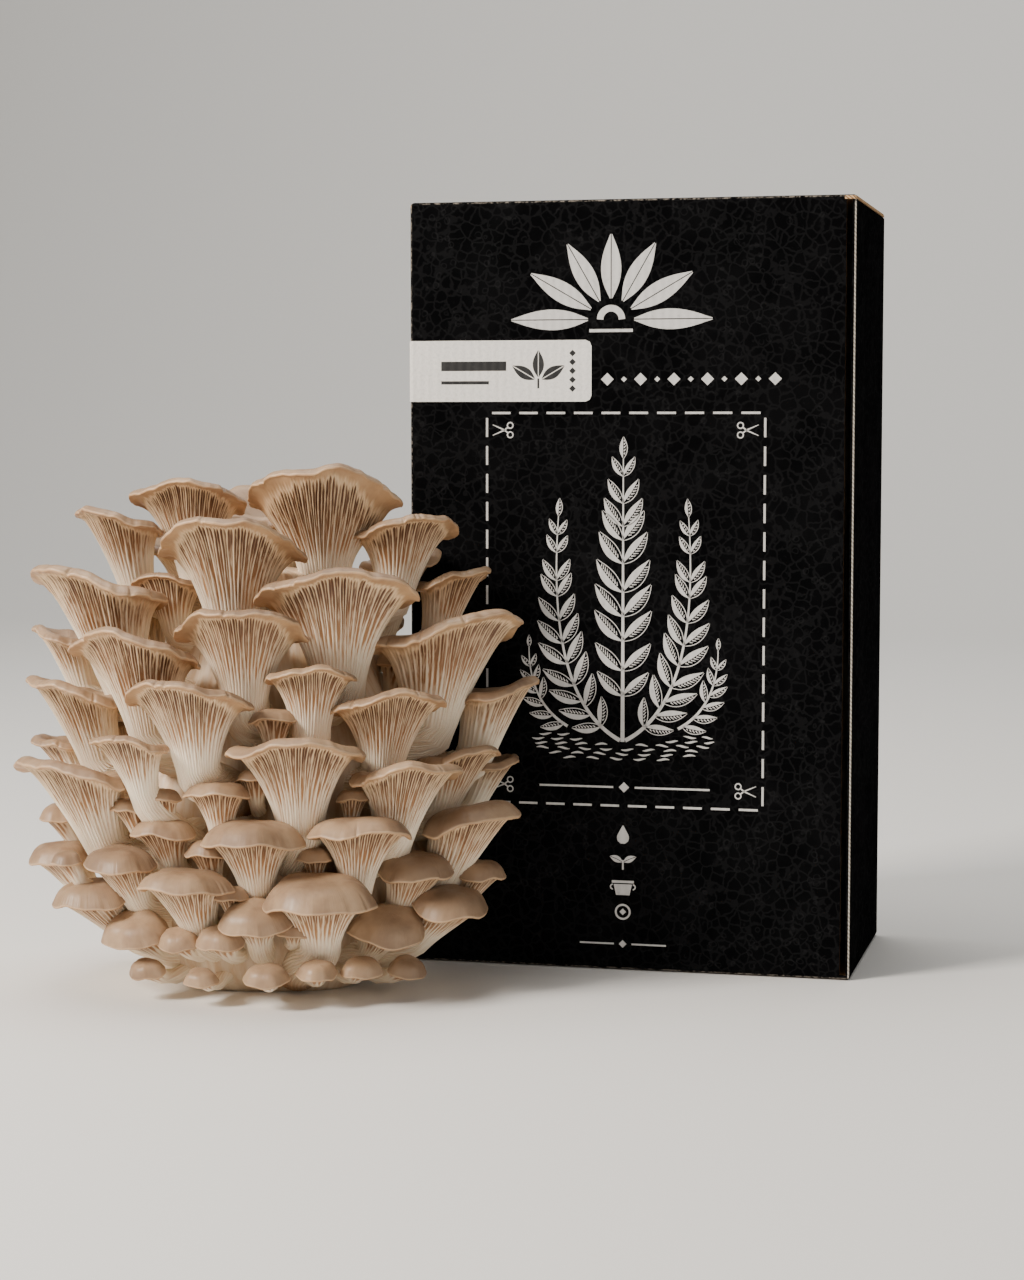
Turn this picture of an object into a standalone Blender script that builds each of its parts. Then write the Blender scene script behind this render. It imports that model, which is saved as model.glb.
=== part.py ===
"""Oyster mushroom grow kit: a closed carton of black corrugated board with its grow block inside, and one cut
cluster of oyster mushrooms that stands beside it on the flat cut of its butt.

Metres, +Z up. The carton's front faces -Y, and the cluster stands before its left corner, turned a little."""

import math

import bmesh
import bpy
import numpy as np
from mathutils import Matrix, Vector

MM = 0.001

# Driving sizes of the carton
CARTON_HEIGHT = 0.280
CARTON_WIDTH = 0.584 * CARTON_HEIGHT
CARTON_DEPTH = 0.327 * CARTON_HEIGHT
BOARD = 0.0016
FOLD_RADIUS = 0.0013
SEAM_WIDTH = 0.0022
SLIT = 0.0005
BLOCK_CLEARANCE = 0.0020
BLOCK_ROUNDING = 0.009

# The sticker on the carton's front, wrapped round its left fold
LABEL_HEIGHT = 0.0222
LABEL_REACH = 0.0682
LABEL_WRAP = 0.013
LABEL_BOTTOM = 0.2075
LABEL_THICKNESS = 0.0003
LABEL_CORNER = 0.0022

# Where the cluster's own axis stands, seen from the carton's front left bottom corner
CLUSTER_PLACE = (-0.0388, -0.0404, 0.0)
CLUSTER_TURN = math.radians(13.74)
GAP = 0.0003
TOUCHING = 0.0001

# The butt's outline at rising heights: height, half width and half depth in millimetres
BUTT = (
    (0, 38, 27),
    (6, 46, 33),
    (26, 54, 37),
    (50, 53, 36),
    (76, 49, 33),
    (102, 43, 29),
    (126, 32, 24),
    (146, 20, 16),
)
BUTT_SIDES = 18

# Sides, and rings up the stem, over the flare and on top, of the solids' mushrooms of each size
LARGE = 17
LARGE_DETAIL = (9, 1, 2, 1)
SMALL_DETAIL = (8, 1, 2, 1)
DOMED_DETAIL = (8, 1, 2, 2)
YOUNG_DETAIL = (6, 1, 1, 2)
TOP_RINGS = (0.93, 0.5)
YOUNG_SEED = 500
WELD = 0.00002
NEAR_FLAT = math.radians(6)

# Each mushroom, in millimetres in the cluster's frame, with x to its right and y away from its front:
# name, x, y and z of the cap's middle, half width, azimuth that it faces (0 is the front, 90 the right),
# degrees that its cap leans back, and what differs from the usual shape
MUSHROOMS = [
    ("crown_1", 18, -12, 176, 26, 0, 22, {"full": 0.5}),
    ("crown_2", -29, -8, 173, 20, -8, 22, {}),
    ("crown_3", -13, -30, 158, 26, -5, 23, {}),
    ("crown_4", -54, -3, 164.5, 18, -48, 18, {}),
    ("crown_5", 46, -8, 162, 19, 32, 18, {}),
    ("upper_1", 25, -36, 141.5, 27, 5, 21, {}),
    ("upper_2", -59, -18, 142.5, 26, -45, 18, {}),
    ("upper_3", -36, -14, 143, 13, -20, 18, {}),
    ("upper_4", 62, 7, 143.5, 16, 62, 16, {}),
    ("upper_5", -8, -44, 130, 22, -5, 22, {}),
    ("upper_6", 61, -16, 126, 28, 45, 18, {}),
    ("upper_7", -75, 9, 123, 15, -82, 12, {}),
    ("upper_8", -44, -37, 121.5, 24, -28, 20, {}),
    ("middle_1", 16, -46, 113.5, 15, 6, 14, {"stem": 0.42, "full": 0.0}),
    ("middle_2", -68, -12, 105.5, 21, -62, 14, {}),
    ("middle_3", 78, -2, 104.5, 19, 76, 14, {}),
    ("middle_4", -25, -51, 106.5, 21, -15, 20, {}),
    ("middle_5", 42, -38, 103.5, 20, 22, 15, {}),
    ("middle_6", -45, -50, 90.5, 14, -32, 14, {"drop": 30}),
    ("middle_7", 12, -52, 89, 23.5, 2, 13, {"drop": 22}),
    ("middle_8", 65, -19, 83, 17, 52, 12, {}),
    ("middle_9", 77, 6, 77.5, 12, 86, 8, {}),
    ("middle_10", -77, 3, 85.5, 12, -80, 4, {}),
    ("lower_1", -66, -31, 79.5, 23, -48, 13, {}),
    ("lower_2", 48, -44, 80.5, 20.5, 28, 12, {}),
    ("lower_3", -16, -49, 74, 11.5, -4, 6, {"rise": 0.1}),
    ("lower_4", 69, -24, 61.5, 20, 58, 13, {"rise": 0.08}),
    ("lower_5", -4, -54, 59.5, 17, -5, 2, {"rise": 0.16}),
    ("lower_6", 33, -51, 61.5, 17, 12, 7, {"rise": 0.1}),
    ("lower_7", -36, -40, 59.5, 12, -25, 2, {"rise": 0.14}),
    ("lower_8", -75, -12, 47, 13, -68, -6, {"rise": 0.14}),
    ("lower_9", -51, -39, 49, 14, -40, -4, {"rise": 0.14}),
    ("skirt_1", 19, -57, 40.5, 19.5, 2, -6, {"rise": 0.15}),
    ("skirt_2", 51, -35, 46, 14.5, 38, -6, {"rise": 0.14}),
    ("skirt_3", 73, -18, 41.5, 10, 65, -6, {"rise": 0.16}),
    ("skirt_4", -62, -30, 35.5, 14.5, -52, -7, {"rise": 0.16}),
    ("skirt_5", -27, -51, 43.5, 17, -20, 2, {"rise": 0.08}),
    ("skirt_6", -3, -55, 32, 12, -2, -22, {"rise": 0.2}),
    ("skirt_7", 42, -41, 27, 14, 28, -22, {"rise": 0.16}),
    ("skirt_8", 63, -32, 33, 15, 50, -9, {"rise": 0.16}),
    ("skirt_9", -46, -38, 25, 12.5, -32, -26, {"rise": 0.18}),
    ("back_1", -2, 18, 169.5, 24, 178, 20, {}),
    ("back_2", -32, 22, 156, 19, -145, 18, {}),
    ("back_3", 43, 14, 150.5, 17, 125, 16, {}),
    ("back_4", -8, 34, 140.5, 24, -176, 18, {}),
    ("back_5", -54, 18, 133, 20, -115, 14, {}),
    ("back_6", 26, 30, 127.5, 18, 160, 14, {}),
    ("back_7", -32, 38, 112, 23, -150, 14, {}),
    ("back_8", 10, 42, 106.5, 20, 174, 12, {}),
    ("back_9", -65, 19, 93, 17, -106, 12, {}),
    ("back_10", -50, 38, 73, 19, -135, 6, {}),
    ("back_11", -10, 48, 75, 21, -178, 12, {}),
    ("back_12", 30, 34, 77, 15, 155, 8, {}),
    ("back_13", -70, 15, 57.5, 14, -100, 2, {}),
    ("back_14", -27, 44, 48, 18, -160, 2, {"rise": 0.15}),
    ("back_15", 14, 44, 48, 19, 168, 2, {"rise": 0.15}),
]

# Small mushrooms, of one piece with the butt that they grow from
YOUNG_SHAPE = {"drop": 4, "rise": 0.22}
YOUNG = [
    (3, -46, 98.5, 8, 5, 10),
    (-4, -42, 77.5, 6.5, -4, 8),
    (45, -6, 116, 10, 55, 8),
    (-36, -42, 71, 6.5, -22, 6),
    (-76, -8, 60.5, 9, -80, -4),
    (-48, -36, 66.5, 7, -38, 4),
    (30, -43, 71, 6, 15, 4),
    (-70, -34, 48, 6, -58, -4),
    (-20, -46, 53, 8, -15, 0),
    (17, -46, 51, 6, 2, -5),
    (-12, -51, 38.5, 6, -5, -4),
    (-30, -47, 22.5, 7.5, -20, -22),
    (-15, -53, 24, 8.5, -10, -16),
    (18, -55, 13, 7, 4, -14),
    (33, -49, 13, 7, 18, -20),
    (1, -58, 12, 7.5, 0, -20),
    (-22, -52, 10, 6, -14, -18),
    (-42, -41, 11, 6.5, -30, -24),
    (48, -38, 11, 7, 38, -24),
    (10, -52, 27, 6, 4, -16),
    (-14, 44, 25, 16, -175, -8),
    (-56, 24, 27, 14, -118, -8),
    (32, 28, 29, 12, 145, -6),
    (60, 2, 26, 12, 95, -6),
    (-10, 41, 94, 9, -175, 8),
    (33, 27, 101.5, 10, 145, 8),
    (-14, 37, 121.5, 8, 180, 8),
    (10, 45, 19.5, 9, 172, -12),
    (-38, 37, 19.5, 10, -142, -12),
    (-54, 30, 48, 8, -122, -2),
    (-6, 47, 58.5, 8, 180, 2),
    (36, 30, 56.5, 9, 145, 0),
    (-44, 30, 101.5, 8, -130, 6),
    (12, 40, 69, 7, 170, 4),
]


def clear_scene():
    for obj in list(bpy.data.objects):
        bpy.data.objects.remove(obj)


def material(name, colour, roughness, metallic=0.0):
    made = bpy.data.materials.new(name)
    made.use_nodes = True
    shader = made.node_tree.nodes["Principled BSDF"]
    shader.inputs["Base Color"].default_value = (*colour, 1.0)
    shader.inputs["Roughness"].default_value = roughness
    shader.inputs["Metallic"].default_value = metallic
    return made


def new_object(name, mesh, finish, parent=None):
    obj = bpy.data.objects.new(name, mesh)
    bpy.context.scene.collection.objects.link(obj)
    if finish:
        mesh.materials.append(finish)
    obj.parent = parent
    return obj


def box_mesh(name, low, high, rounding=0.0, segments=2):
    """A box between two corners, with all its edges rounded."""
    shape = bmesh.new()
    bmesh.ops.create_cube(shape, size=1.0)
    size = [h - l for l, h in zip(low, high)]
    middle = [(h + l) / 2 for l, h in zip(low, high)]
    bmesh.ops.transform(shape, matrix=Matrix.Translation(middle) @ Matrix.Diagonal((*size, 1)), verts=shape.verts)
    if rounding:
        bmesh.ops.bevel(
            shape, geom=shape.edges[:], offset=rounding, offset_type="OFFSET", segments=segments,
            profile=0.5, affect="EDGES",
        )
    mesh = bpy.data.meshes.new(name)
    shape.to_mesh(mesh)
    shape.free()
    return mesh


def cutter(name, low, high, parent):
    obj = new_object(name, box_mesh(name, low, high), None, parent)
    obj.hide_render = True
    obj.display_type = "WIRE"
    return obj


def cut(obj, tool, operation="DIFFERENCE"):
    modifier = obj.modifiers.new(tool.name, "BOOLEAN")
    modifier.operation = operation
    modifier.solver = "EXACT"
    modifier.object = tool


def carton(parent):
    """One folded sheet: front, left side, back, right side and bottom, with the front carried over as the lid.

    The front's right edge tucks in beside the right wall and leaves an open seam. The lid lies on the side walls
    and on the back, so its raw edges show, and a slit runs under it on those three sides."""
    w, d, h = CARTON_WIDTH, CARTON_DEPTH, CARTON_HEIGHT
    obj = new_object(
        "carton", box_mesh("carton", (0, 0, 0), (w, d, h), FOLD_RADIUS),
        material("black printed board", (0.012, 0.012, 0.013), 0.5), parent,
    )
    over = 0.005
    cuts = {
        "hollow": ((BOARD, BOARD, BOARD), (w - BOARD, d - BOARD, h - BOARD)),
        "seam": ((w - BOARD - SEAM_WIDTH, -over, BOARD), (w - BOARD, BOARD + over, h - BOARD)),
        "slit_left": ((-over, BOARD, h - BOARD - SLIT), (BOARD + over, d + over, h - BOARD)),
        "slit_right": ((w - BOARD - over, BOARD, h - BOARD - SLIT), (w + over, d + over, h - BOARD)),
        "slit_back": ((BOARD, d - BOARD - over, h - BOARD - SLIT), (w - BOARD, d + over, h - BOARD)),
    }
    for name, (low, high) in cuts.items():
        cut(obj, cutter("cut_" + name, low, high, parent))
    return obj


def grow_block(parent):
    """The bagged block of wood substrate that fills the closed carton."""
    space = BOARD + BLOCK_CLEARANCE
    low = (space, space, BOARD + GAP)
    high = (CARTON_WIDTH - space - SEAM_WIDTH, CARTON_DEPTH - space, CARTON_HEIGHT - 3 * space)
    mesh = box_mesh("grow_block", low, high, BLOCK_ROUNDING, 3)
    return new_object("grow_block", mesh, material("white mycelium in a bag", (0.72, 0.68, 0.6), 0.6), parent)


def label(parent):
    """A paper strip on the front that turns round the left fold, its free end with rounded corners."""
    near = TOUCHING
    fold = FOLD_RADIUS
    reach = LABEL_REACH - fold
    straight = [fold + t for t in (reach, reach - 0.3 * LABEL_CORNER, reach - LABEL_CORNER, 0.5 * reach, 0)]
    turns = [math.radians(30 * k) for k in (1, 2)]

    def path(away):
        """Points at this distance from the board, from the free end on the front to the end on the side."""
        points = [(x, -away) for x in straight]
        points += [(fold - (fold + away) * math.sin(a), fold - (fold + away) * math.cos(a)) for a in turns]
        return points + [(-away, fold), (-away, LABEL_WRAP)]

    inner, outer = path(near), path(near + LABEL_THICKNESS)
    high = [LABEL_HEIGHT] * len(inner)
    high[0] -= LABEL_CORNER
    high[1] -= 0.3 * LABEL_CORNER
    shape = bmesh.new()
    rings = []
    for (ax, ay), (bx, by), top in zip(inner, outer, high):
        low_z = LABEL_BOTTOM + LABEL_HEIGHT - top
        high_z = LABEL_BOTTOM + top
        corners = ((ax, ay, low_z), (bx, by, low_z), (bx, by, high_z), (ax, ay, high_z))
        rings.append([shape.verts.new(corner) for corner in corners])
    for first, second in zip(rings, rings[1:]):
        for k in range(4):
            shape.faces.new((first[k], first[k - 1], second[k - 1], second[k]))
    shape.faces.new(rings[0])
    shape.faces.new(reversed(rings[-1]))
    bmesh.ops.recalc_face_normals(shape, faces=shape.faces[:])
    mesh = bpy.data.meshes.new("label")
    shape.to_mesh(mesh)
    shape.free()
    return new_object("label", mesh, material("white label paper", (0.8, 0.8, 0.78), 0.55), parent)


def unit(v):
    return v / np.linalg.norm(v)


def bezier(points, v):
    """The place and direction at v on a cubic curve through its first and last points."""
    p0, p1, p2, p3 = points
    w = 1 - v
    place = w**3 * p0 + 3 * v * w * w * p1 + 3 * v * v * w * p2 + v**3 * p3
    way = w * w * (p1 - p0) + 2 * v * w * (p2 - p1) + v * v * (p3 - p2)
    return place, unit(way)


def mushroom_rings(row, seed, around, stem_rings, flare_rings, top_rings, grow=0.0):
    """Rings of points, in millimetres, from the foot up the stem, out under the cap, over its rim and in on top.

    The stem is a round tube on a bent line. The flare widens from it as a trumpet does, slowly and then fast,
    while its sections turn from square to the stem to square to the cap's own leaning axis. The rim is an
    egg-shaped curve, long towards the front of the mushroom, with a few slow waves across and up and down it.
    It is rolled down all round, and its sides droop. The top rises from the rim over a rounded shoulder, and
    then falls to a dip over the stem, or rises on to a low dome."""
    x, y, z, half, azimuth, tilt, options = row
    full = options.get("full", 0.0)
    rise = options.get("rise", 0.0)
    rng = np.random.default_rng(seed)
    azimuth, tilt = math.radians(azimuth), math.radians(tilt)
    outward = np.array([math.sin(azimuth), -math.cos(azimuth), 0.0])
    up = np.array([0.0, 0.0, 1.0])
    axis = up * math.cos(tilt) - outward * math.sin(tilt)
    front = outward * math.cos(tilt) + up * math.sin(tilt)
    side = np.cross(axis, front)
    middle = np.array([x, y, z], float)
    low, lowest, high = (min(1.0, max(0.0, t)) for t in ((110 - z) / 80, (42 - z) / 32, (z - 110) / 60))
    stem_way = unit(up + (0.25 + 0.4 * low + 1.4 * lowest) * outward)
    stem_front = unit(outward - stem_way * (outward @ stem_way))

    neck_radius = half * options.get("stem", 0.34) + 0.5
    depth = min(1.05 * half + 3, (z - neck_radius - 3) / stem_way[2])
    neck = middle - stem_way * depth
    drop = options.get("drop", 0.5 * half + 5)
    inset = 0.45 - 0.2 * high
    foot = np.array([inset * x, inset * y, max(7.0, neck[2] - drop)])
    reach = np.linalg.norm(neck - foot)
    line = (foot, foot + unit(np.array([x, y, 2 * reach])) * 0.35 * reach, neck - stem_way * 0.35 * reach, neck)

    u = np.linspace(0, 2 * math.pi, around, endpoint=False)
    phases = rng.uniform(0, 2 * math.pi, 6)
    wave = sum(size * np.sin(k * u + p) for k, size, p in zip((2, 3, 5), (0.035, 0.04, 0.025), phases[:3]))
    lift = sum(size * np.sin(k * u + p) for k, size, p in zip((3, 4, 7), (0.025, 0.03, 0.018), phases[3:]))
    lift = half * (lift - 0.08 * np.sin(u) ** 2)
    along = half * np.where(np.cos(u) > 0, 0.9, 0.68) * np.cos(u) * (1 + wave)
    across = half * np.sin(u) * (1 + wave)
    rim = np.hypot(along, across)
    rim_front, rim_side = along / rim, across / rim
    lip = 0.024 * half + 0.6
    roll = half * (0.07 + 0.06 * low + 0.2 * rise)
    dip = 0.35 * depth if not rise else 0.0

    rings = []
    for v in np.linspace(0, 1, stem_rings + 1)[:-1]:
        place, way = bezier(line, v)
        ring_front = unit(front - way * (front @ way))
        ring_side = np.cross(way, ring_front)
        radius = neck_radius * (1.15 - 0.15 * v) + grow
        rings.append(place + radius * (np.outer(np.cos(u), ring_front) + np.outer(np.sin(u), ring_side)))
    steepest = math.radians(80)
    for v in np.linspace(0, 1, flare_rings + 1):
        height = math.sin(steepest * v) / math.sin(steepest)
        curve = (1 - math.cos(steepest * v)) / (1 - math.cos(steepest))
        trumpet = 0.32 * height + 0.68 * curve
        bowl = height * height * (3 - 2 * height)
        out = (1 - full) * trumpet + full * bowl
        turned = unit(stem_front * (1 - height) + front * height)
        part = min(1.0, 2.5 * out)
        ring_front = np.cos(u) * (1 - part) + rim_front * part
        ring_side = np.sin(u) * (1 - part) + rim_side * part
        radius = neck_radius + (rim - neck_radius) * out + grow
        rings.append(
            middle - stem_way * depth * (1 - height)
            + np.outer(radius * ring_front, turned) + np.outer(radius * ring_side, side)
            + np.outer(lift * out**2 - roll * out**6, axis)
        )

    def cap_ring(radius, height):
        flat = np.outer(radius * rim_front, front) + np.outer(radius * rim_side, side)
        return middle + flat + np.outer(height, axis)

    rings.append(cap_ring(rim + 0.5 * lip + grow, lift - roll + 0.5 * lip + 0.5 * grow))
    for w in TOP_RINGS[:top_rings]:
        height = lift * w * w + 1.9 * lip + 0.1 * half * w * (1 - w) - dip * (1 - w) ** 2 * (1 + 2 * w)
        height = height + rise * half * (1 - w**4) - roll * w**8 + grow
        rings.append(cap_ring((rim - 0.3 * lip) * w, height))
    bottom = foot - unit(line[1] - foot) * 0.5 * neck_radius
    top = middle + axis * (1.9 * lip - dip + rise * half + grow)
    return [bottom[None], *rings, top[None]]


def skin(name, rings):
    """A closed mesh over rings of points that run from one pole to the other, faces outward, in metres."""
    shape = bmesh.new()
    loops = [[shape.verts.new(Vector(point) * MM) for point in ring] for ring in rings]
    for low, high in zip(loops, loops[1:]):
        count = max(len(low), len(high))
        for k in range(count):
            after = (k + 1) % count
            if len(low) == 1:
                shape.faces.new((low[0], high[after], high[k]))
            elif len(high) == 1:
                shape.faces.new((low[k], low[after], high[0]))
            else:
                shape.faces.new((low[k], low[after], high[after], high[k]))
    bmesh.ops.triangulate(shape, faces=shape.faces[:], quad_method="FIXED")
    mesh = bpy.data.meshes.new(name)
    shape.to_mesh(mesh)
    shape.free()
    return mesh


def butt_rings(grow=0.0):
    """The grown-together foot of the cluster: an oval lump with a few ridges, closed at the top, cut flat below."""
    u = np.linspace(0, 2 * math.pi, BUTT_SIDES, endpoint=False)
    rings = []
    for height, half_width, half_depth in BUTT:
        ridges = 1 + 0.07 * np.sin(3 * u + 0.05 * height) + 0.05 * np.sin(5 * u - 0.08 * height)
        ring = np.stack(
            [
                (half_width + grow) * ridges * np.cos(u),
                (half_depth + grow) * ridges * np.sin(u),
                np.full(len(u), height),
            ],
            axis=1,
        )
        rings.append(ring)
    bottom = np.array([[0.0, 0.0, 0.0]])
    top = np.array([[0.0, 0.0, BUTT[-1][0] + 3 + grow]])
    return [bottom, *rings, top]


def fixed_mesh(obj):
    """The object's mesh with its modifiers applied, in its own frame."""
    graph = bpy.context.evaluated_depsgraph_get()
    return bpy.data.meshes.new_from_object(obj.evaluated_get(graph))


def tidied(mesh, near_flat):
    """Deletes all but the largest of the pieces that a cut has left, and joins the cuts' small near-flat faces."""
    shape = bmesh.new()
    shape.from_mesh(mesh)
    left = set(shape.verts)
    pieces = []
    while left:
        start = left.pop()
        piece, edge = {start}, [start]
        while edge:
            vert = edge.pop()
            for link in vert.link_edges:
                other = link.other_vert(vert)
                if other in left:
                    left.discard(other)
                    piece.add(other)
                    edge.append(other)
        pieces.append(piece)
    keep = max(pieces, key=lambda piece: piece_volume(piece))
    bmesh.ops.delete(shape, geom=[v for piece in pieces if piece is not keep for v in piece], context="VERTS")
    bmesh.ops.remove_doubles(shape, verts=shape.verts, dist=WELD)
    bmesh.ops.dissolve_degenerate(shape, edges=shape.edges, dist=WELD)
    if near_flat:
        bmesh.ops.dissolve_limit(shape, angle_limit=near_flat, verts=shape.verts, edges=shape.edges)
    bmesh.ops.triangulate(shape, faces=shape.faces[:])
    shape.to_mesh(mesh)
    shape.free()


def piece_volume(piece):
    faces = {face for vert in piece for face in vert.link_faces}
    total = 0.0
    for face in faces:
        first, *rest = (loop.vert.co for loop in face.loops)
        for a, b in zip(rest, rest[1:]):
            total += first.dot(a.cross(b)) / 6
    return total


def boxes_meet(first, second):
    low_a, high_a = first
    low_b, high_b = second
    return bool((low_a < high_b).all() and (low_b < high_a).all())


def reach_of(rings):
    points = np.vstack(rings)
    return points.min(axis=0), points.max(axis=0)


def hidden_helper(name, rings, parent):
    """A shape that only cuts or joins others, left out of the object."""
    obj = new_object(name, skin(name, rings), None, parent)
    obj.hide_render = True
    obj.display_type = "WIRE"
    return obj


def cluster(parent):
    """The butt with its young mushrooms, and each grown mushroom cut back where it meets one before it."""
    flesh = material("pale mushroom flesh", (0.72, 0.55, 0.4), 0.55)
    butt = new_object("cluster_butt", skin("cluster_butt", butt_rings()), flesh, parent)
    clear_butt = hidden_helper("clear_butt", butt_rings(GAP / MM), parent)
    placed = []

    def cut_back(obj, reach):
        for other_reach, clear in placed:
            if boxes_meet(reach, other_reach):
                cut(obj, clear)

    grown = []
    for number, (name, *numbers) in reversed(list(enumerate(MUSHROOMS))):
        detail = LARGE_DETAIL if numbers[3] > LARGE else SMALL_DETAIL
        if "rise" in numbers[-1]:
            detail = DOMED_DETAIL
        rings = mushroom_rings(numbers, number, *detail)
        obj = new_object("mushroom_" + name, skin(name, rings), flesh, parent)
        cut(obj, clear_butt)
        cut_back(obj, reach_of(rings))
        clear_rings = mushroom_rings(numbers, number, *detail, grow=1.6 * GAP / MM)
        placed.append((reach_of(clear_rings), hidden_helper("clear_" + name, clear_rings, parent)))
        grown.append(obj)
    for number, row in enumerate(YOUNG):
        rings = mushroom_rings((*row, YOUNG_SHAPE), YOUNG_SEED + number, *YOUNG_DETAIL)
        young = hidden_helper(f"young_{number}", rings, parent)
        cut_back(young, reach_of(rings))
        cut(butt, young, "UNION")
    bpy.context.view_layer.update()
    whole = [(obj, fixed_mesh(obj)) for obj in (butt, *grown)]
    for obj, mesh in whole:
        obj.modifiers.clear()
        obj.data = mesh
        tidied(mesh, 0 if obj is butt else NEAR_FLAT)


def centre(kit):
    """Moves the kit so that the origin lies on the floor under the middle of its extents."""
    bpy.context.view_layer.update()
    nodes = [obj for obj in bpy.data.objects if obj.type == "MESH" and not obj.hide_render]
    points = np.array([obj.matrix_world @ vert.co for obj in nodes for vert in obj.data.vertices])
    middle = (points.min(axis=0) + points.max(axis=0)) / 2
    kit.location = (-middle[0], -middle[1], 0)


def main():
    clear_scene()
    kit = bpy.data.objects.new("kit", None)
    bpy.context.scene.collection.objects.link(kit)
    box = bpy.data.objects.new("carton_corner", None)
    bpy.context.scene.collection.objects.link(box)
    box.parent = kit
    carton(box)
    grow_block(box)
    label(box)
    stand = bpy.data.objects.new("cluster_axis", None)
    bpy.context.scene.collection.objects.link(stand)
    stand.parent = kit
    stand.location = CLUSTER_PLACE
    stand.rotation_euler = (0, 0, CLUSTER_TURN)
    bpy.context.view_layer.update()
    cluster(stand)
    centre(kit)


main()
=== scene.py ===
# %% [markdown]
# # Oyster mushroom grow kit
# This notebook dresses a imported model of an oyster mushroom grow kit: a tall carton of black printed board,
# and the crowded cluster of mushrooms that stands before its left corner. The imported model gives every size
# and place. Each step below first says what the real thing is like, and then how numpy and Blender's nodes
# make it.

# %% Load the frame
import math
from types import SimpleNamespace

import bpy
import numpy as np
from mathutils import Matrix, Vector


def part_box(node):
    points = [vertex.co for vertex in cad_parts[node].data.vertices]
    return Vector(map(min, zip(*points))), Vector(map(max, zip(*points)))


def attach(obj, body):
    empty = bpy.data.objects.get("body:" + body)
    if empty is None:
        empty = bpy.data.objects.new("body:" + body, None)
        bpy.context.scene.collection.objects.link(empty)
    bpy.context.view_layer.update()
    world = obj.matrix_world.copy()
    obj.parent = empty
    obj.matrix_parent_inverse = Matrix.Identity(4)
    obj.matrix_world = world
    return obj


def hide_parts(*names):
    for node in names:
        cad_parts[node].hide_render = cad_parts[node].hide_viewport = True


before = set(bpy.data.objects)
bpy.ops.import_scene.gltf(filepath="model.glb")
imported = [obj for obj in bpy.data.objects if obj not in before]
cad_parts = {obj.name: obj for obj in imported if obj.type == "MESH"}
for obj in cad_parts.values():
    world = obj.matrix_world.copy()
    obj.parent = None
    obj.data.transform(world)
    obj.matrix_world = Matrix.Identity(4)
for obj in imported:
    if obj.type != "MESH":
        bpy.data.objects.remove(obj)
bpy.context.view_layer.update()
MM = 0.001

# %% [markdown]
# ## Camera
# The carton's straight edges give the photograph's viewing angle. Its front is seen turned by almost 14
# degrees, from about seven tenths of its height, through a long lens that looks slightly down. The camera,
# the cluster and the print all get their places from the carton's front left bottom corner.

# %% Camera at the photograph's viewing angle
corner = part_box("carton")[0]
carton_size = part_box("carton")[1] - corner
VIEW_TURN = math.radians(13.74)
VIEW_DOWN = math.radians(4.54)
EYE = Vector((274.5, -964.9, 199.3)) * MM
LENS = 76.4

camera = bpy.data.objects.new("camera", bpy.data.cameras.new("camera"))
bpy.context.scene.collection.objects.link(camera)
camera.location = corner + EYE
camera.rotation_euler = (math.pi / 2 - VIEW_DOWN, 0, VIEW_TURN)
camera.data.lens = LENS
camera.data.clip_start = 0.05
bpy.context.scene.camera = camera
print("the camera stands", round((camera.location - corner).length, 3), "m from the carton's corner")

# %% [markdown]
# ## Floor and light
# A plain pale floor and soft light from large panels show shape and colour without hard shadows. The
# strongest panel is at the upper left and to the front, because gills read best when light rakes over them
# from the side. The floor is a profile that is carried sideways: flat, then a quarter circle, then upright.

# %% A pale floor and soft studio panels
FLOOR_SIDE, FLOOR_FRONT, BEND_START, BEND_RADIUS, WALL_TOP = 5.0, -4.0, 1.6, 1.2, 5.0
FLOOR_GAP = 0.2 * MM

bend = np.radians(90 * np.linspace(0, 1, 25)[1:])
depth_points = np.concatenate([
    [FLOOR_FRONT, BEND_START], BEND_START + BEND_RADIUS * np.sin(bend), [BEND_START + BEND_RADIUS],
])
height_points = np.concatenate([[0.0, 0.0], BEND_RADIUS - BEND_RADIUS * np.cos(bend), [WALL_TOP]])
rows = len(depth_points)
points = np.stack([
    np.tile([-FLOOR_SIDE, FLOOR_SIDE], rows),
    np.repeat(depth_points, 2),
    np.repeat(height_points, 2) - FLOOR_GAP,
], axis=1)
first = 2 * np.arange(rows - 1)
floor_mesh = bpy.data.meshes.new("floor")
floor_faces = np.stack([first, first + 1, first + 3, first + 2], axis=1)
floor_mesh.from_pydata(points.tolist(), [], floor_faces.tolist())
floor_mesh.shade_smooth()
floor = bpy.data.objects.new("floor", floor_mesh)
bpy.context.scene.collection.objects.link(floor)


def panel(name, place, target, width, power, colour=(1.0, 1.0, 1.0)):
    """A square area light that faces a target."""
    lamp = bpy.data.lights.new(name, "AREA")
    lamp.size = width
    lamp.energy = power
    lamp.color = colour
    obj = bpy.data.objects.new(name, lamp)
    bpy.context.scene.collection.objects.link(obj)
    obj.location = place
    obj.rotation_euler = (Vector(target) - Vector(place)).to_track_quat("-Z", "Y").to_euler()


middle = (0.0, 0.0, 0.12)
panel("key", (-0.85, -0.85, 0.85), middle, 0.4, 30.0, (1.0, 0.93, 0.85))
panel("fill", (1.1, -0.9, 0.45), middle, 0.9, 2.5)
panel("top", (-0.15, 0.15, 1.4), middle, 0.9, 13.0, (1.0, 0.97, 0.93))
panel("wall", (0.0, 1.1, 2.0), (0.0, 2.9, 0.9), 1.5, 20.0)
world = bpy.data.worlds.new("studio")
bpy.context.scene.world = world
world.use_nodes = True
world.node_tree.nodes["Background"].inputs["Color"].default_value = (1.0, 0.99, 0.97, 1.0)
world.node_tree.nodes["Background"].inputs["Strength"].default_value = 0.24

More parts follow.
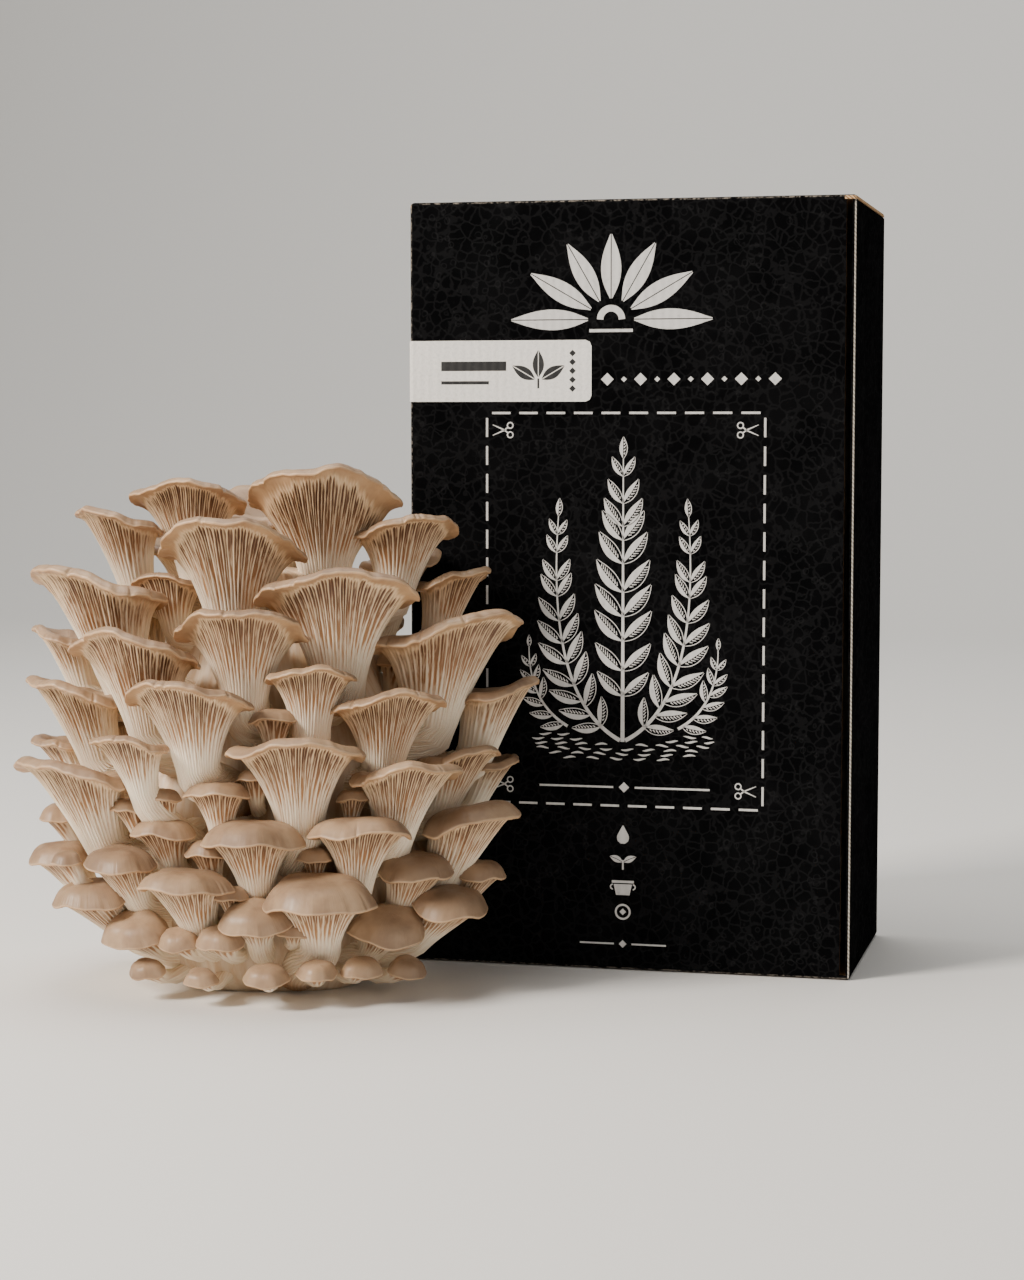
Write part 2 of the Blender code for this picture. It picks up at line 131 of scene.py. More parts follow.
# %% [markdown]
# ## Shader maths as expressions
# Materials here are written as formulas. A Field wraps one output socket, and arithmetic on it adds Math
# nodes, so that `1 - mask` or `a * b` builds the node tree by itself. A Finish is one material, and its
# method `node` adds any other kind of node.

# %% Fields and finishes
# From one flute of the carton's board to the next
FLUTE_PITCH = 3.1 * MM


class Field:
    """A value that varies over a surface: an output socket, with operators that add Math nodes."""

    def __init__(self, finish, socket):
        self.finish = finish
        self.socket = socket

    def maths(self, operation, first, second):
        """Adds one Math node on two fields or numbers."""
        return self.finish.node("ShaderNodeMath", {"operation": operation}, {0: first, 1: second})

    def __add__(self, other):
        return self.maths("ADD", self, other)

    def __radd__(self, other):
        return self.maths("ADD", other, self)

    def __sub__(self, other):
        return self.maths("SUBTRACT", self, other)

    def __rsub__(self, other):
        return self.maths("SUBTRACT", other, self)

    def __mul__(self, other):
        return self.maths("MULTIPLY", self, other)

    def __rmul__(self, other):
        return self.maths("MULTIPLY", other, self)


class Finish:
    """A material in the making, with its Principled shader."""

    def __init__(self, name, **constants):
        self.material = bpy.data.materials.new(name)
        self.material.use_nodes = True
        self.tree = self.material.node_tree
        self.shader = self.tree.nodes["Principled BSDF"]
        for socket, value in constants.items():
            self.shader.inputs[socket.replace("_", " ").title().replace("Ior", "IOR")].default_value = value

    def node(self, kind, settings=None, inputs=None, output=0):
        """Adds a node: its settings first, then its sockets' values or links. Returns one output."""
        made = self.tree.nodes.new(kind)
        for name, value in (settings or {}).items():
            setattr(made, name, value)
        for name, value in (inputs or {}).items():
            if isinstance(value, Field):
                self.tree.links.new(value.socket, made.inputs[name])
            else:
                made.inputs[name].default_value = value
        return Field(self, made.outputs[output])

    def feed(self, **fields):
        """Links fields to the shader's sockets, such as base_color or roughness."""
        for socket, value in fields.items():
            self.tree.links.new(value.socket, self.shader.inputs[socket.replace("_", " ").title()])

    def place(self):
        """The place on the surface, in the model's own metres."""
        return self.node("ShaderNodeTexCoord", output=3)

    def along(self, axis):
        """One coordinate of the place on the surface: 0, 1 or 2 for x, y or z."""
        return self.node("ShaderNodeSeparateXYZ", inputs={0: self.place()}, output=axis)

    def painted(self, attribute):
        """A number that the mesh stores at each point."""
        return self.node("ShaderNodeAttribute", {"attribute_name": attribute}, output=2)

    def ramp(self, value, low, high):
        """Rises smoothly from 0 to 1 while the value goes from low to high."""
        limits = {"Value": value, "From Min": low, "From Max": high}
        return self.node("ShaderNodeMapRange", {"interpolation_type": "SMOOTHSTEP"}, limits)

    def noise(self, scale, detail=2.0, roughness=0.5, vector=None):
        """Soft random patches, about 1 / scale metres apart."""
        sockets = {"Vector": vector or self.place(), "Scale": scale, "Detail": detail, "Roughness": roughness}
        return self.node("ShaderNodeTexNoise", inputs=sockets)

    def bent(self, amount):
        """The place on the surface, pushed about a little, so that a pattern's lines are not straight."""
        push = self.node("ShaderNodeTexNoise", inputs={"Vector": self.place(), "Scale": 330.0}, output=1)
        push = self.node("ShaderNodeVectorMath", {"operation": "SCALE"}, {0: push, "Scale": 2 * amount})
        return self.node("ShaderNodeVectorMath", {"operation": "ADD"}, {0: self.place(), 1: push})

    def flutes(self):
        """Waves across the carton's width, one for each flute inside the board: sin(2 pi x / pitch)."""
        sockets = {"Vector": self.place(), "Scale": 2 * math.pi / 20 / FLUTE_PITCH}
        return self.node("ShaderNodeTexWave", {"bands_direction": "X", "wave_profile": "SIN"}, sockets)

    def blend(self, factor, first, second):
        """Mixes two colours, or fields of colour."""
        return self.node("ShaderNodeMix", {"data_type": "RGBA"}, {0: factor, 6: first, 7: second}, output=2)

    def bump(self, height, strength, distance, under=None):
        """Shading as if the surface rose with the height, on top of another bump where one is given."""
        sockets = {"Strength": strength, "Distance": distance, "Height": height}
        if under:
            sockets["Normal"] = under
        return self.node("ShaderNodeBump", inputs=sockets)


def colour(red, green, blue):
    """A colour as a screen shows it, 0 to 255, turned into the linear light that shaders use."""
    shown = (red / 255, green / 255, blue / 255)
    linear = [c / 12.92 if c <= 0.04045 else ((c + 0.055) / 1.055) ** 2.4 for c in shown]
    return (*linear, 1.0)


floor_finish = Finish("pale floor", roughness=0.75)
floor_finish.shader.inputs["Base Color"].default_value = colour(236, 234, 230)
floor_mesh.materials.append(floor_finish.material)
print("colour(128, 128, 128) is", round(colour(128, 128, 128)[0], 3), "in linear light")

# %% [markdown]
# ## Mushroom flesh
# An oyster mushroom is one kind of flesh with three looks. The stem is ivory, with fine lines that run up
# it and painted shade between its low ridges, and it turns tan-brown towards its foot: partly brown
# staining and partly painted shade. The gills under the cap are cream ridges over brown grooves, browner
# towards the rim, and the dark brown of the grooves is partly painted shade, strongest on each mushroom's
# outward side. The margin and the top are smooth, tan and faintly mottled, with a satin sheen, and a
# painted highlight runs along the rim's crest. One material does all three. It reads two numbers that the
# mesh stores at each point: `band` says how far the point is along the mushroom (0 foot, 1 neck, 2 rim, 3
# middle of the top), and `groove` says how deep it lies between two gills, or is -1 on the smooth margin
# that lies beyond the gills. Light goes a little way into the flesh, so it gets a constant subsurface
# weight.

# %% The flesh material


def flesh(name):
    """Stem, gills, margin and top in one: band blends from each to the next, and groove darkens the gills."""
    made = Finish(name, subsurface_weight=0.1, subsurface_scale=0.002, specular_ior_level=0.45)
    made.shader.inputs["Subsurface Radius"].default_value = (1.0, 0.6, 0.4)
    band = made.painted("band")
    groove = made.painted("groove")
    lines = made.node("ShaderNodeUVMap", {"uv_map": "gills"})
    stretch = made.node("ShaderNodeMapping", inputs={"Vector": lines, "Scale": (0.9, 0.035, 1.0)})
    fibres = made.noise(2.0, 3.0, 0.6, stretch)
    short = made.node("ShaderNodeMapping", inputs={"Vector": lines, "Scale": (0.8, 0.07, 1.0)})
    flecks = made.noise(1.6, 2.0, 0.6, short)
    mottle = made.noise(90.0, 3.0, 0.6)
    clouds = made.noise(28.0, 2.0, 0.5)

    towards_rim = made.ramp(band, 1.1, 1.7)
    ridge = made.blend(towards_rim, colour(252, 238, 214), colour(228, 196, 156))
    stem = made.blend(made.ramp(fibres, 0.35, 0.75), colour(253, 240, 217), colour(226, 196, 158))
    # Tan-brown towards the stem's foot: partly brown staining and partly painted shade of the hollows between
    # the stems
    foot = made.blend(made.ramp(clouds, 0.4, 0.65), colour(190, 150, 108), colour(150, 110, 74))
    stem = made.blend(made.ramp(band, 0.0, 0.55), foot, stem)
    pale = made.blend(made.ramp(band, 0.75, 1.2), stem, ridge)
    # Dark brown in the grooves between gills, browner towards the rim: partly the gills' own brown and partly
    # painted shade in the clefts
    deep = made.blend(towards_rim, colour(190, 142, 98), colour(96, 61, 38))
    fleck_mask = made.ramp(flecks, 0.36, 0.66) * 0.8 + 0.5
    # How much of the clefts' brown and painted shade a point gets
    cleft_brown_and_shade = made.ramp(groove * fleck_mask, 0.0, 0.55)
    under = made.blend(cleft_brown_and_shade * made.ramp(band, 0.1, 1.15), pale, deep)
    smudge = made.ramp(clouds, 0.5, 0.72) * made.ramp(band, 1.2, 1.5) * 0.3
    under = made.blend(smudge, under, colour(150, 106, 70))

    margin = made.blend(made.ramp(mottle, 0.35, 0.7), colour(196, 158, 118), colour(172, 134, 98))
    under = made.blend(1.0 - made.ramp(groove, -0.9, 0.05), under, margin)
    top = made.blend(made.ramp(mottle, 0.3, 0.75), colour(176, 147, 117), colour(143, 115, 90))
    top = made.blend(made.ramp(clouds, 0.42, 0.68) * 0.6, top, colour(122, 98, 78))
    # A thin cream line along the rim's crest: a painted highlight
    edge = made.ramp(band, 1.99, 2.01) * (1.0 - made.ramp(band, 2.03, 2.06))
    top = made.blend(edge * 0.5, top, colour(232, 204, 170))
    skin_colour = made.blend(made.ramp(band, 2.0, 2.06), margin, top)
    made.feed(
        base_color=made.blend(made.ramp(band, 1.9, 1.97), under, skin_colour),
        roughness=0.46 + 0.16 * made.ramp(mottle, 0.3, 0.8) - 0.06 * made.ramp(band, 1.85, 2.0),
    )
    fine = made.bump(fibres + 0.5 * flecks, 0.35, 0.0003)
    made.feed(normal=made.bump(mottle, 0.25, 0.0004, fine))
    return made.material


flesh_material = flesh("oyster flesh")
print(len(flesh_material.node_tree.nodes), "nodes in the flesh")

# %% [markdown]
# ## The shape of one mushroom
# Every mushroom is one formula on a grid. One direction goes round the mushroom, and the other goes up the
# stem, out under the cap, over the rim and in to the middle of the top. The numbers that describe a
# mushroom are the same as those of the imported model: the cap's place, its half width, the azimuth it faces
# and how far it leans back. Lengths are millimetres until a grid becomes a mesh.

# %% The curves that a mushroom is made of
# How much closer the grid lines stand in front, where a mushroom is seen
AROUND_SHIFT = 0.35
# The edge of a cap in section, from its underside to its top: distance beyond the rim and above it, in lips
LIP_SECTION = ((0.26, -0.04), (0.44, 0.16), (0.5, 0.42), (0.44, 0.72), (0.28, 1.08), (0.02, 1.42))
# The rings of the top, from 1 at the rim to 0 in the middle, and how many lips it lies above the rim
TOP_RINGS = (0.975, 0.93, 0.86, 0.76, 0.62, 0.42, 0.2)
TOP_LIPS = 1.9


def unit(v):
    """Vectors divided by their own lengths."""
    return v / np.linalg.norm(v, axis=-1, keepdims=True)


def smooth(t):
    """Goes from 0 to 1 with a soft start and end."""
    t = np.clip(t, 0, 1)
    return t * t * (3 - 2 * t)


def waves(u, parts, phases):
    """A sum of sines: size times sin(k u + phase) for each (k, size) and phase."""
    return sum(size * np.sin(k * u + phase) for (k, size), phase in zip(parts, phases))


def bezier(points, v):
    """Places and directions at v on a cubic curve through its first and last points."""
    p0, p1, p2, p3 = points
    w = 1 - v
    place = w**3 * p0 + 3 * v * w * w * p1 + 3 * v * v * w * p2 + v**3 * p3
    way = w * w * (p1 - p0) + 2 * v * w * (p2 - p1) + v * v * (p3 - p2)
    return place, unit(way)


# %% [markdown]
# A cap leans back from the way it faces, so it has three directions of its own: its axis, its front and its
# side. The stem leaves the butt outwards and comes up to the neck on a soft bend. What is random about a
# mushroom, such as the waves of its rim, is drawn from its own seed, so that it comes out the same each
# time.

# %% Places and directions of one mushroom


def mushroom_shape(row, seed, gills):
    """What the parts of one mushroom share.

    Axis and front = up and outward, both turned back by the tilt. Neck = middle - depth * stem_way, and
    stem_way leans outwards more on a low mushroom. Line = four control points from the foot to the neck."""
    x, y, z, half, azimuth, tilt, options = row
    rng = np.random.default_rng(seed)
    phases = rng.uniform(0, 2 * math.pi, 6)
    extra = rng.uniform(0, 2 * math.pi, 20)
    azimuth, tilt = math.radians(azimuth), math.radians(tilt)
    outward = np.array([math.sin(azimuth), -math.cos(azimuth), 0.0])
    up = np.array([0.0, 0.0, 1.0])
    axis = up * math.cos(tilt) - outward * math.sin(tilt)
    front = outward * math.cos(tilt) + up * math.sin(tilt)
    middle = np.array([x, y, z], float)
    low, lowest, high = np.clip([(110 - z) / 80, (42 - z) / 32, (z - 110) / 60], 0.0, 1.0).tolist()
    stem_way = unit(up + (0.25 + 0.4 * low + 1.4 * lowest) * outward)
    neck_radius = half * options.get("stem", 0.34) + 0.5
    depth = min(1.05 * half + 3, (z - neck_radius - 3) / stem_way[2])
    neck = middle - stem_way * depth
    inset = 0.45 - 0.2 * high
    foot = np.array([inset * x, inset * y, max(7.0, neck[2] - options.get("drop", 0.5 * half + 5))])
    length = np.linalg.norm(neck - foot)
    leaving = unit(np.array([x, y, 2 * length])) * 0.35 * length
    rise = options.get("rise", 0.0)
    return SimpleNamespace(
        half=half, full=options.get("full", 0.0), rise=rise, calm=0.55 if rise else 1.0,
        middle=middle, axis=axis, front=front, side=np.cross(axis, front),
        depth=depth, stem_way=stem_way, stem_front=unit(outward - stem_way * (outward @ stem_way)),
        neck_radius=neck_radius, line=(foot, foot + leaving, neck - stem_way * 0.35 * length, neck),
        lip=0.024 * half + 0.6, roll=half * (0.07 + 0.06 * low + 0.2 * rise),
        dip=0.0 if rise else 0.35 * depth,
        phases=phases, extra=extra, each=rng.uniform(0, 1, (3, gills)),
        s=np.linspace(0, 2 * math.pi, 4 * gills, endpoint=False)[None, :],
    )


# %% The grid lines and the rim


def angles(shape, v):
    """Angle round the mushroom for each grid line: closer in front, and wandering where v is below 1."""
    s, extra = shape.s, shape.extra
    wander = 0.035 * np.sin(2 * s + extra[0]) + 0.02 * np.sin(5 * s + extra[1])
    sway = 0.02 * np.sin(3 * s + 4 * v + extra[2]) + 0.011 * np.sin(13 * s + 9 * v + extra[14])
    shiver = 0.008 * np.sin(23 * s - 14 * v + extra[15])
    return s - AROUND_SHIFT * np.sin(s) + (1 - v) * (wander + sway + shiver)


def rim_shape(shape, u, edge):
    """The rim's radius, its direction in the cap's plane and its height.

    An egg with slow waves: half width * (1 + waves) across, 0.9 of that to the front and 0.68 to the back.
    Ripples and narrow notches come in with edge, from 0 to 1."""
    half, phases, extra = shape.half, shape.phases, shape.extra
    wave = waves(u, ((2, 0.035), (3, 0.04), (5, 0.025)), phases[:3])
    ripple = waves(u, ((9, 0.007), (14, 0.005), (22, 0.003), (33, 0.002)), extra[3:7])
    away = (((u - spot + math.pi) % (2 * math.pi) - math.pi) for spot in extra[8:12])
    notch = sum(np.exp(-(gap / 0.03) ** 2) for gap in away)
    lift = half * (waves(u, ((3, 0.025), (4, 0.03), (7, 0.018)), phases[3:]) - 0.08 * np.sin(u) ** 2)
    scale = half * (1 + wave) + shape.calm * half * edge * (ripple - 0.03 * notch)
    lift = lift + shape.calm * half * edge * (1.3 * ripple - 0.012 * notch)
    along = scale * np.where(np.cos(u) > 0, 0.9, 0.68) * np.cos(u)
    across = scale * np.sin(u)
    rim = np.hypot(along, across)
    return rim, along / rim, across / rim, lift


# %% Stem, flare and cap


def stem_grid(shape, v):
    """A tube on the stem's line, v from 0 at the foot to 1 at the neck.

    Radius = neck radius * (1.15 - 0.15 v) * lumps, and the lumps fade at both ends."""
    u = angles(shape, 0)
    place, way = bezier(shape.line, v)
    ring_front = unit(shape.front - way * (way @ shape.front)[:, None])
    ring_side = np.cross(way, ring_front)
    lumps = 1 + waves(u, ((2, 0.05), (3, 0.04), (5, 0.03)), shape.extra[16:19]) * np.sin(math.pi * v)
    radius = (shape.neck_radius * (1.15 - 0.15 * v) * lumps)[..., None]
    flat = np.cos(u)[..., None] * ring_front[:, None] + np.sin(u)[..., None] * ring_side[:, None]
    return place[:, None] + radius * flat


def flare_grid(shape, v):
    """The underside, v from 0 at the neck to 1 at the rim, and how far out each ring lies, from 0 to 1.

    Radius = neck + (rim - neck) * out, where out grows slowly and then fast, as a trumpet does. Its sections
    turn from square to the stem to square to the cap's axis, and near the rim it rolls down."""
    steepest = math.radians(80)
    u = angles(shape, v)
    height = np.sin(steepest * v) / math.sin(steepest)
    curve = (1 - np.cos(steepest * v)) / (1 - math.cos(steepest))
    out = (1 - shape.full) * (0.32 * height + 0.68 * curve) + shape.full * height**2 * (3 - 2 * height)
    rim, rim_front, rim_side, lift = rim_shape(shape, u, out**8)
    turned = unit(shape.stem_front * (1 - height) + shape.front * height)[:, None]
    part = np.minimum(1, 2.5 * out)
    radius = shape.neck_radius + (rim - shape.neck_radius) * out
    flat_front = (radius * (np.cos(u) * (1 - part) + rim_front * part))[..., None]
    flat_side = (radius * (np.sin(u) * (1 - part) + rim_side * part))[..., None]
    line = shape.middle - shape.stem_way * shape.depth * (1 - height)[..., None]
    flare = line + flat_front * turned + flat_side * shape.side
    rolled = shape.roll * smooth((out - 0.68) / 0.32) ** 1.5
    return flare + (lift * out**2 - rolled)[..., None] * shape.axis, out


def cap_grid(shape):
    """The lip and the top, and the band number of each of their rings.

    Lip: a rounded edge that bends most just below its outermost line. Top: a shoulder that falls by roll *
    w^8 to the rim, and over the stem a dip or a dome, with w 1 at the rim and 0 in the middle."""
    half, lip, u = shape.half, shape.lip, angles(shape, 1)

    def ring_points(rim_front, rim_side, radius, height):
        flat = (radius * rim_front)[..., None] * shape.front + (radius * rim_side)[..., None] * shape.side
        return shape.middle + flat + height[..., None] * shape.axis

    beyond, above = np.array(LIP_SECTION).T[..., None]
    rim, rim_front, rim_side, lift = rim_shape(shape, u, 1.0)
    lips = ring_points(rim_front, rim_side, rim + beyond * lip, lift - shape.roll + above * lip)
    w = np.array(TOP_RINGS)[:, None]
    rim, rim_front, rim_side, lift = rim_shape(shape, u, w**10)
    height = lift * w * w + TOP_LIPS * lip + 0.1 * half * w * (1 - w) - shape.dip * (1 - w) ** 2 * (1 + 2 * w)
    height = height + shape.rise * half * (1 - w**4) - shape.roll * w**8
    top = ring_points(rim_front, rim_side, (rim - 0.3 * lip) * w, height)
    bands = np.concatenate([2 + 0.1 * above[:, 0] / 1.6, 2.12 + 0.88 * (1 - w[:, 0])])
    return np.concatenate([lips, top]), bands


# %% [markdown]
# Gills are plates that stand side by side under the cap and run down the stem as low ridges. Every second
# one starts at the stem. The others begin further out, each at its own fork, and all of them end a little
# short of the rim. A row of waves round the mushroom gives such ridges without a single extra part.

# %% Gills on the underside


def gill_relief(shape, u, out, stem_v):
    """How far the points of the stem and the flare stand out, and how deep they lie between two gills.

    Main ridges = ((1 + cos(s gills / 2)) / 2)^1.5. Past each fork they get sharper, and finer ridges with
    cos(s gills) come in between. Relief = (ridge - 0.5) * half width / 26, weaker at the neck and faded at
    the gills' outer ends. Groove = 1 - ridge, faded likewise, and it goes to -1 beyond the gills."""
    s, gills = shape.s, shape.each.shape[1]
    index = s[0] / (2 * math.pi) * gills
    whole = np.arange(gills + 1)
    strength, fork, end = (np.interp(index, whole, np.append(one, one[0])) for one in shape.each)
    main_ridge, fine_ridge = 0.5 + 0.5 * np.cos(s * gills / 2), 0.5 + 0.5 * np.cos(s * gills)
    fine = smooth((out - (0.06 + 0.3 * fork)) / 0.25)
    forked = np.maximum(main_ridge**4, (0.5 + 0.4 * strength) * fine_ridge**1.5)
    ridge = (1 - fine) * main_ridge**1.5 + fine * forked
    gill_end = 0.74 - 0.26 * np.sin(u) ** 2 + 0.12 * end
    faded = 1 - smooth((out - gill_end) / 0.24)
    deep = (0.3 + 0.7 * smooth(out / 0.3)) * faded
    size = shape.half / 26
    relief = (0.35 + 0.65 * strength) * deep * size * (ridge - 0.5) * 1.1
    stem_relief = 0.45 * size * (main_ridge - 0.5) * (0.4 + 0.6 * stem_v)
    # The grooves count for more on the mushroom's outward side, so its clefts get more painted shade there
    outward_groove_shade = 0.3 + 0.7 * smooth(0.35 + 0.75 * np.cos(u))
    groove = (1 - ridge) * deep * (0.6 + 0.4 * strength) * outward_groove_shade
    groove = groove * (0.45 + 0.55 * smooth((out + 0.1) / 0.5)) + faded - 1
    # Between the stem's low ridges the same mask paints shade
    stem_groove = 0.22 * (0.3 + 0.7 * stem_v) * (1 - main_ridge)
    return np.vstack([stem_relief, relief]), np.vstack([stem_groove, groove])


# %% One whole mushroom as a grid


def mushroom_grid(row, seed, gills, stem_rings=8, flare_rings=22):
    """The grid of stem, flare, lip and top, each point moved along its normal by the gills' relief.

    Returns the points, their band and groove numbers, and the poles under the foot and on the top."""
    shape = mushroom_shape(row, seed, gills)
    stem_v = np.linspace(0, 1, stem_rings + 1)[:-1, None]
    flare_v = np.linspace(0, 1, flare_rings + 1)[:, None]
    flare, out = flare_grid(shape, flare_v)
    cap, cap_bands = cap_grid(shape)
    relief, groove = gill_relief(shape, angles(shape, flare_v), out, stem_v)
    plain = np.zeros(cap.shape[:2])
    grid = np.concatenate([stem_grid(shape, stem_v), flare, cap])
    grid = grid + surface_normals(grid) * np.vstack([relief, plain])[..., None]
    band = np.concatenate([stem_v[:, 0], 1 + out[:, 0], cap_bands])[:, None] + 0 * shape.s
    foot, leaving = shape.line[:2]
    bottom = foot - unit(leaving - foot) * 0.5 * shape.neck_radius
    summit = shape.middle + shape.axis * (TOP_LIPS * shape.lip - shape.dip + shape.rise * shape.half)
    return grid, band, np.vstack([groove, plain - 1]), bottom, summit


def surface_normals(grid):
    """Outward directions of a grid that closes on itself round its second index."""
    around = np.roll(grid, -1, axis=1) - np.roll(grid, 1, axis=1)
    return unit(np.cross(around, np.gradient(grid, axis=0)))


# %% A grid becomes a mesh


def grid_mesh(name, pieces, to_world):
    """One mesh of closed shells. Each shell is a grid of points, with a pole at either end.

    Quads join grid point (j, k) to its neighbours, and triangles join the end rings to the poles. The map
    `gills` holds a quarter for each point round, so a whole for each gill, and millimetres along. It makes
    no jump where the grid closes."""
    points, faces, corner_maps, bands, grooves = [], [], [], [], []
    start = 0
    for grid, band, groove, bottom, summit in pieces:
        rings, around = grid.shape[:2]
        index = start + np.arange(rings * around).reshape(rings, around)
        after = np.roll(index, -1, axis=1)
        low, high = start + rings * around, start + rings * around + 1
        points += [grid.reshape(-1, 3), bottom[None], summit[None]]
        bands += [band.ravel(), band[0, :1], band[-1, :1]]
        grooves += [groove.ravel(), [0.0, 0.0]]
        quads = np.stack([index[:-1], after[:-1], after[1:], index[1:]], axis=-1).reshape(-1, 4)
        first = np.stack([np.full(around, low), after[0], index[0]], axis=-1)
        last = np.stack([index[-1], after[-1], np.full(around, high)], axis=-1)
        across = np.arange(around) / 4
        steps = np.linalg.norm(np.diff(grid.mean(axis=1), axis=0), axis=1)
        steps = np.maximum(steps, np.linalg.norm(np.diff(grid[:, 0], axis=0), axis=1))
        up = np.concatenate([[0.0], np.cumsum(steps)])
        u0, v0 = np.broadcast_to(across, (rings, around)), np.broadcast_to(up[:, None], (rings, around))
        quad_u = np.stack([u0[:-1], u0[:-1] + 0.25, u0[1:] + 0.25, u0[1:]], axis=-1)
        quad_v = np.stack([v0[:-1], v0[:-1], v0[1:], v0[1:]], axis=-1)
        pole_u = np.stack([across, across + 0.25, across], -1)
        first_map = np.stack([pole_u, np.zeros((around, 3))], -1)
        last_map = np.stack([pole_u, np.full((around, 3), up[-1])], -1)
        faces.append((quads, first, last))
        quad_map = np.stack([quad_u, quad_v], -1)
        corner_maps += [part.reshape(-1, 2) for part in (quad_map, first_map, last_map)]
        start += rings * around + 2
    places = to_world(np.vstack(points))
    loops = np.concatenate([part.ravel() for shell in faces for part in shell])
    sizes = np.concatenate([np.full(len(part), part.shape[1]) for shell in faces for part in shell])
    mesh = bpy.data.meshes.new(name)
    mesh.vertices.add(len(places))
    mesh.vertices.foreach_set("co", places.astype(np.float32).ravel())
    mesh.loops.add(len(loops))
    mesh.loops.foreach_set("vertex_index", loops.astype(np.int32))
    mesh.polygons.add(len(sizes))
    mesh.polygons.foreach_set("loop_start", np.concatenate([[0], np.cumsum(sizes)[:-1]]).astype(np.int32))
    mesh.update(calc_edges=True)
    gill_map = mesh.uv_layers.new(name="gills")
    gill_map.uv.foreach_set("vector", np.vstack(corner_maps).astype(np.float32).ravel())
    for attribute, values in (("band", bands), ("groove", grooves)):
        layer = mesh.attributes.new(attribute, "FLOAT", "POINT")
        layer.data.foreach_set("value", np.concatenate(values).astype(np.float32))
    mesh.shade_smooth()
    return mesh


# %% [markdown]
# ## The cluster
# The mushrooms grow from one foot in rising storeys, larger and leaning further back towards the top, and
# the small ones crowd round the bottom. Each row of the table is one mushroom, seen from the cluster's own
# front: x to its right, y away from the viewer, z up, then the half width, the azimuth it faces, the
# degrees it leans back, and what is special about it. There `full` makes a fuller flare, `rise` a domed
# top and `stem` a thicker neck, and `drop` says how far the foot lies under the neck.

# %% Where every mushroom grows
CLUSTER_PLACE = np.array([-0.0388, -0.0404, 0.0])
CLUSTER_TURN = VIEW_TURN


def from_cluster(points):
    """Millimetres in the cluster's frame to metres in the model's."""
    c, s = math.cos(CLUSTER_TURN), math.sin(CLUSTER_TURN)
    turned = points @ np.array([[c, s, 0], [-s, c, 0], [0, 0, 1]])
    return turned * MM + CLUSTER_PLACE + np.array(corner)


# The butt's height, half width and half depth
BUTT = (
    (0, 38, 27),
    (6, 46, 33),
    (26, 54, 37),
    (50, 53, 36),
    (76, 49, 33),
    (102, 43, 29),
    (126, 32, 24),
    (146, 20, 16),
)

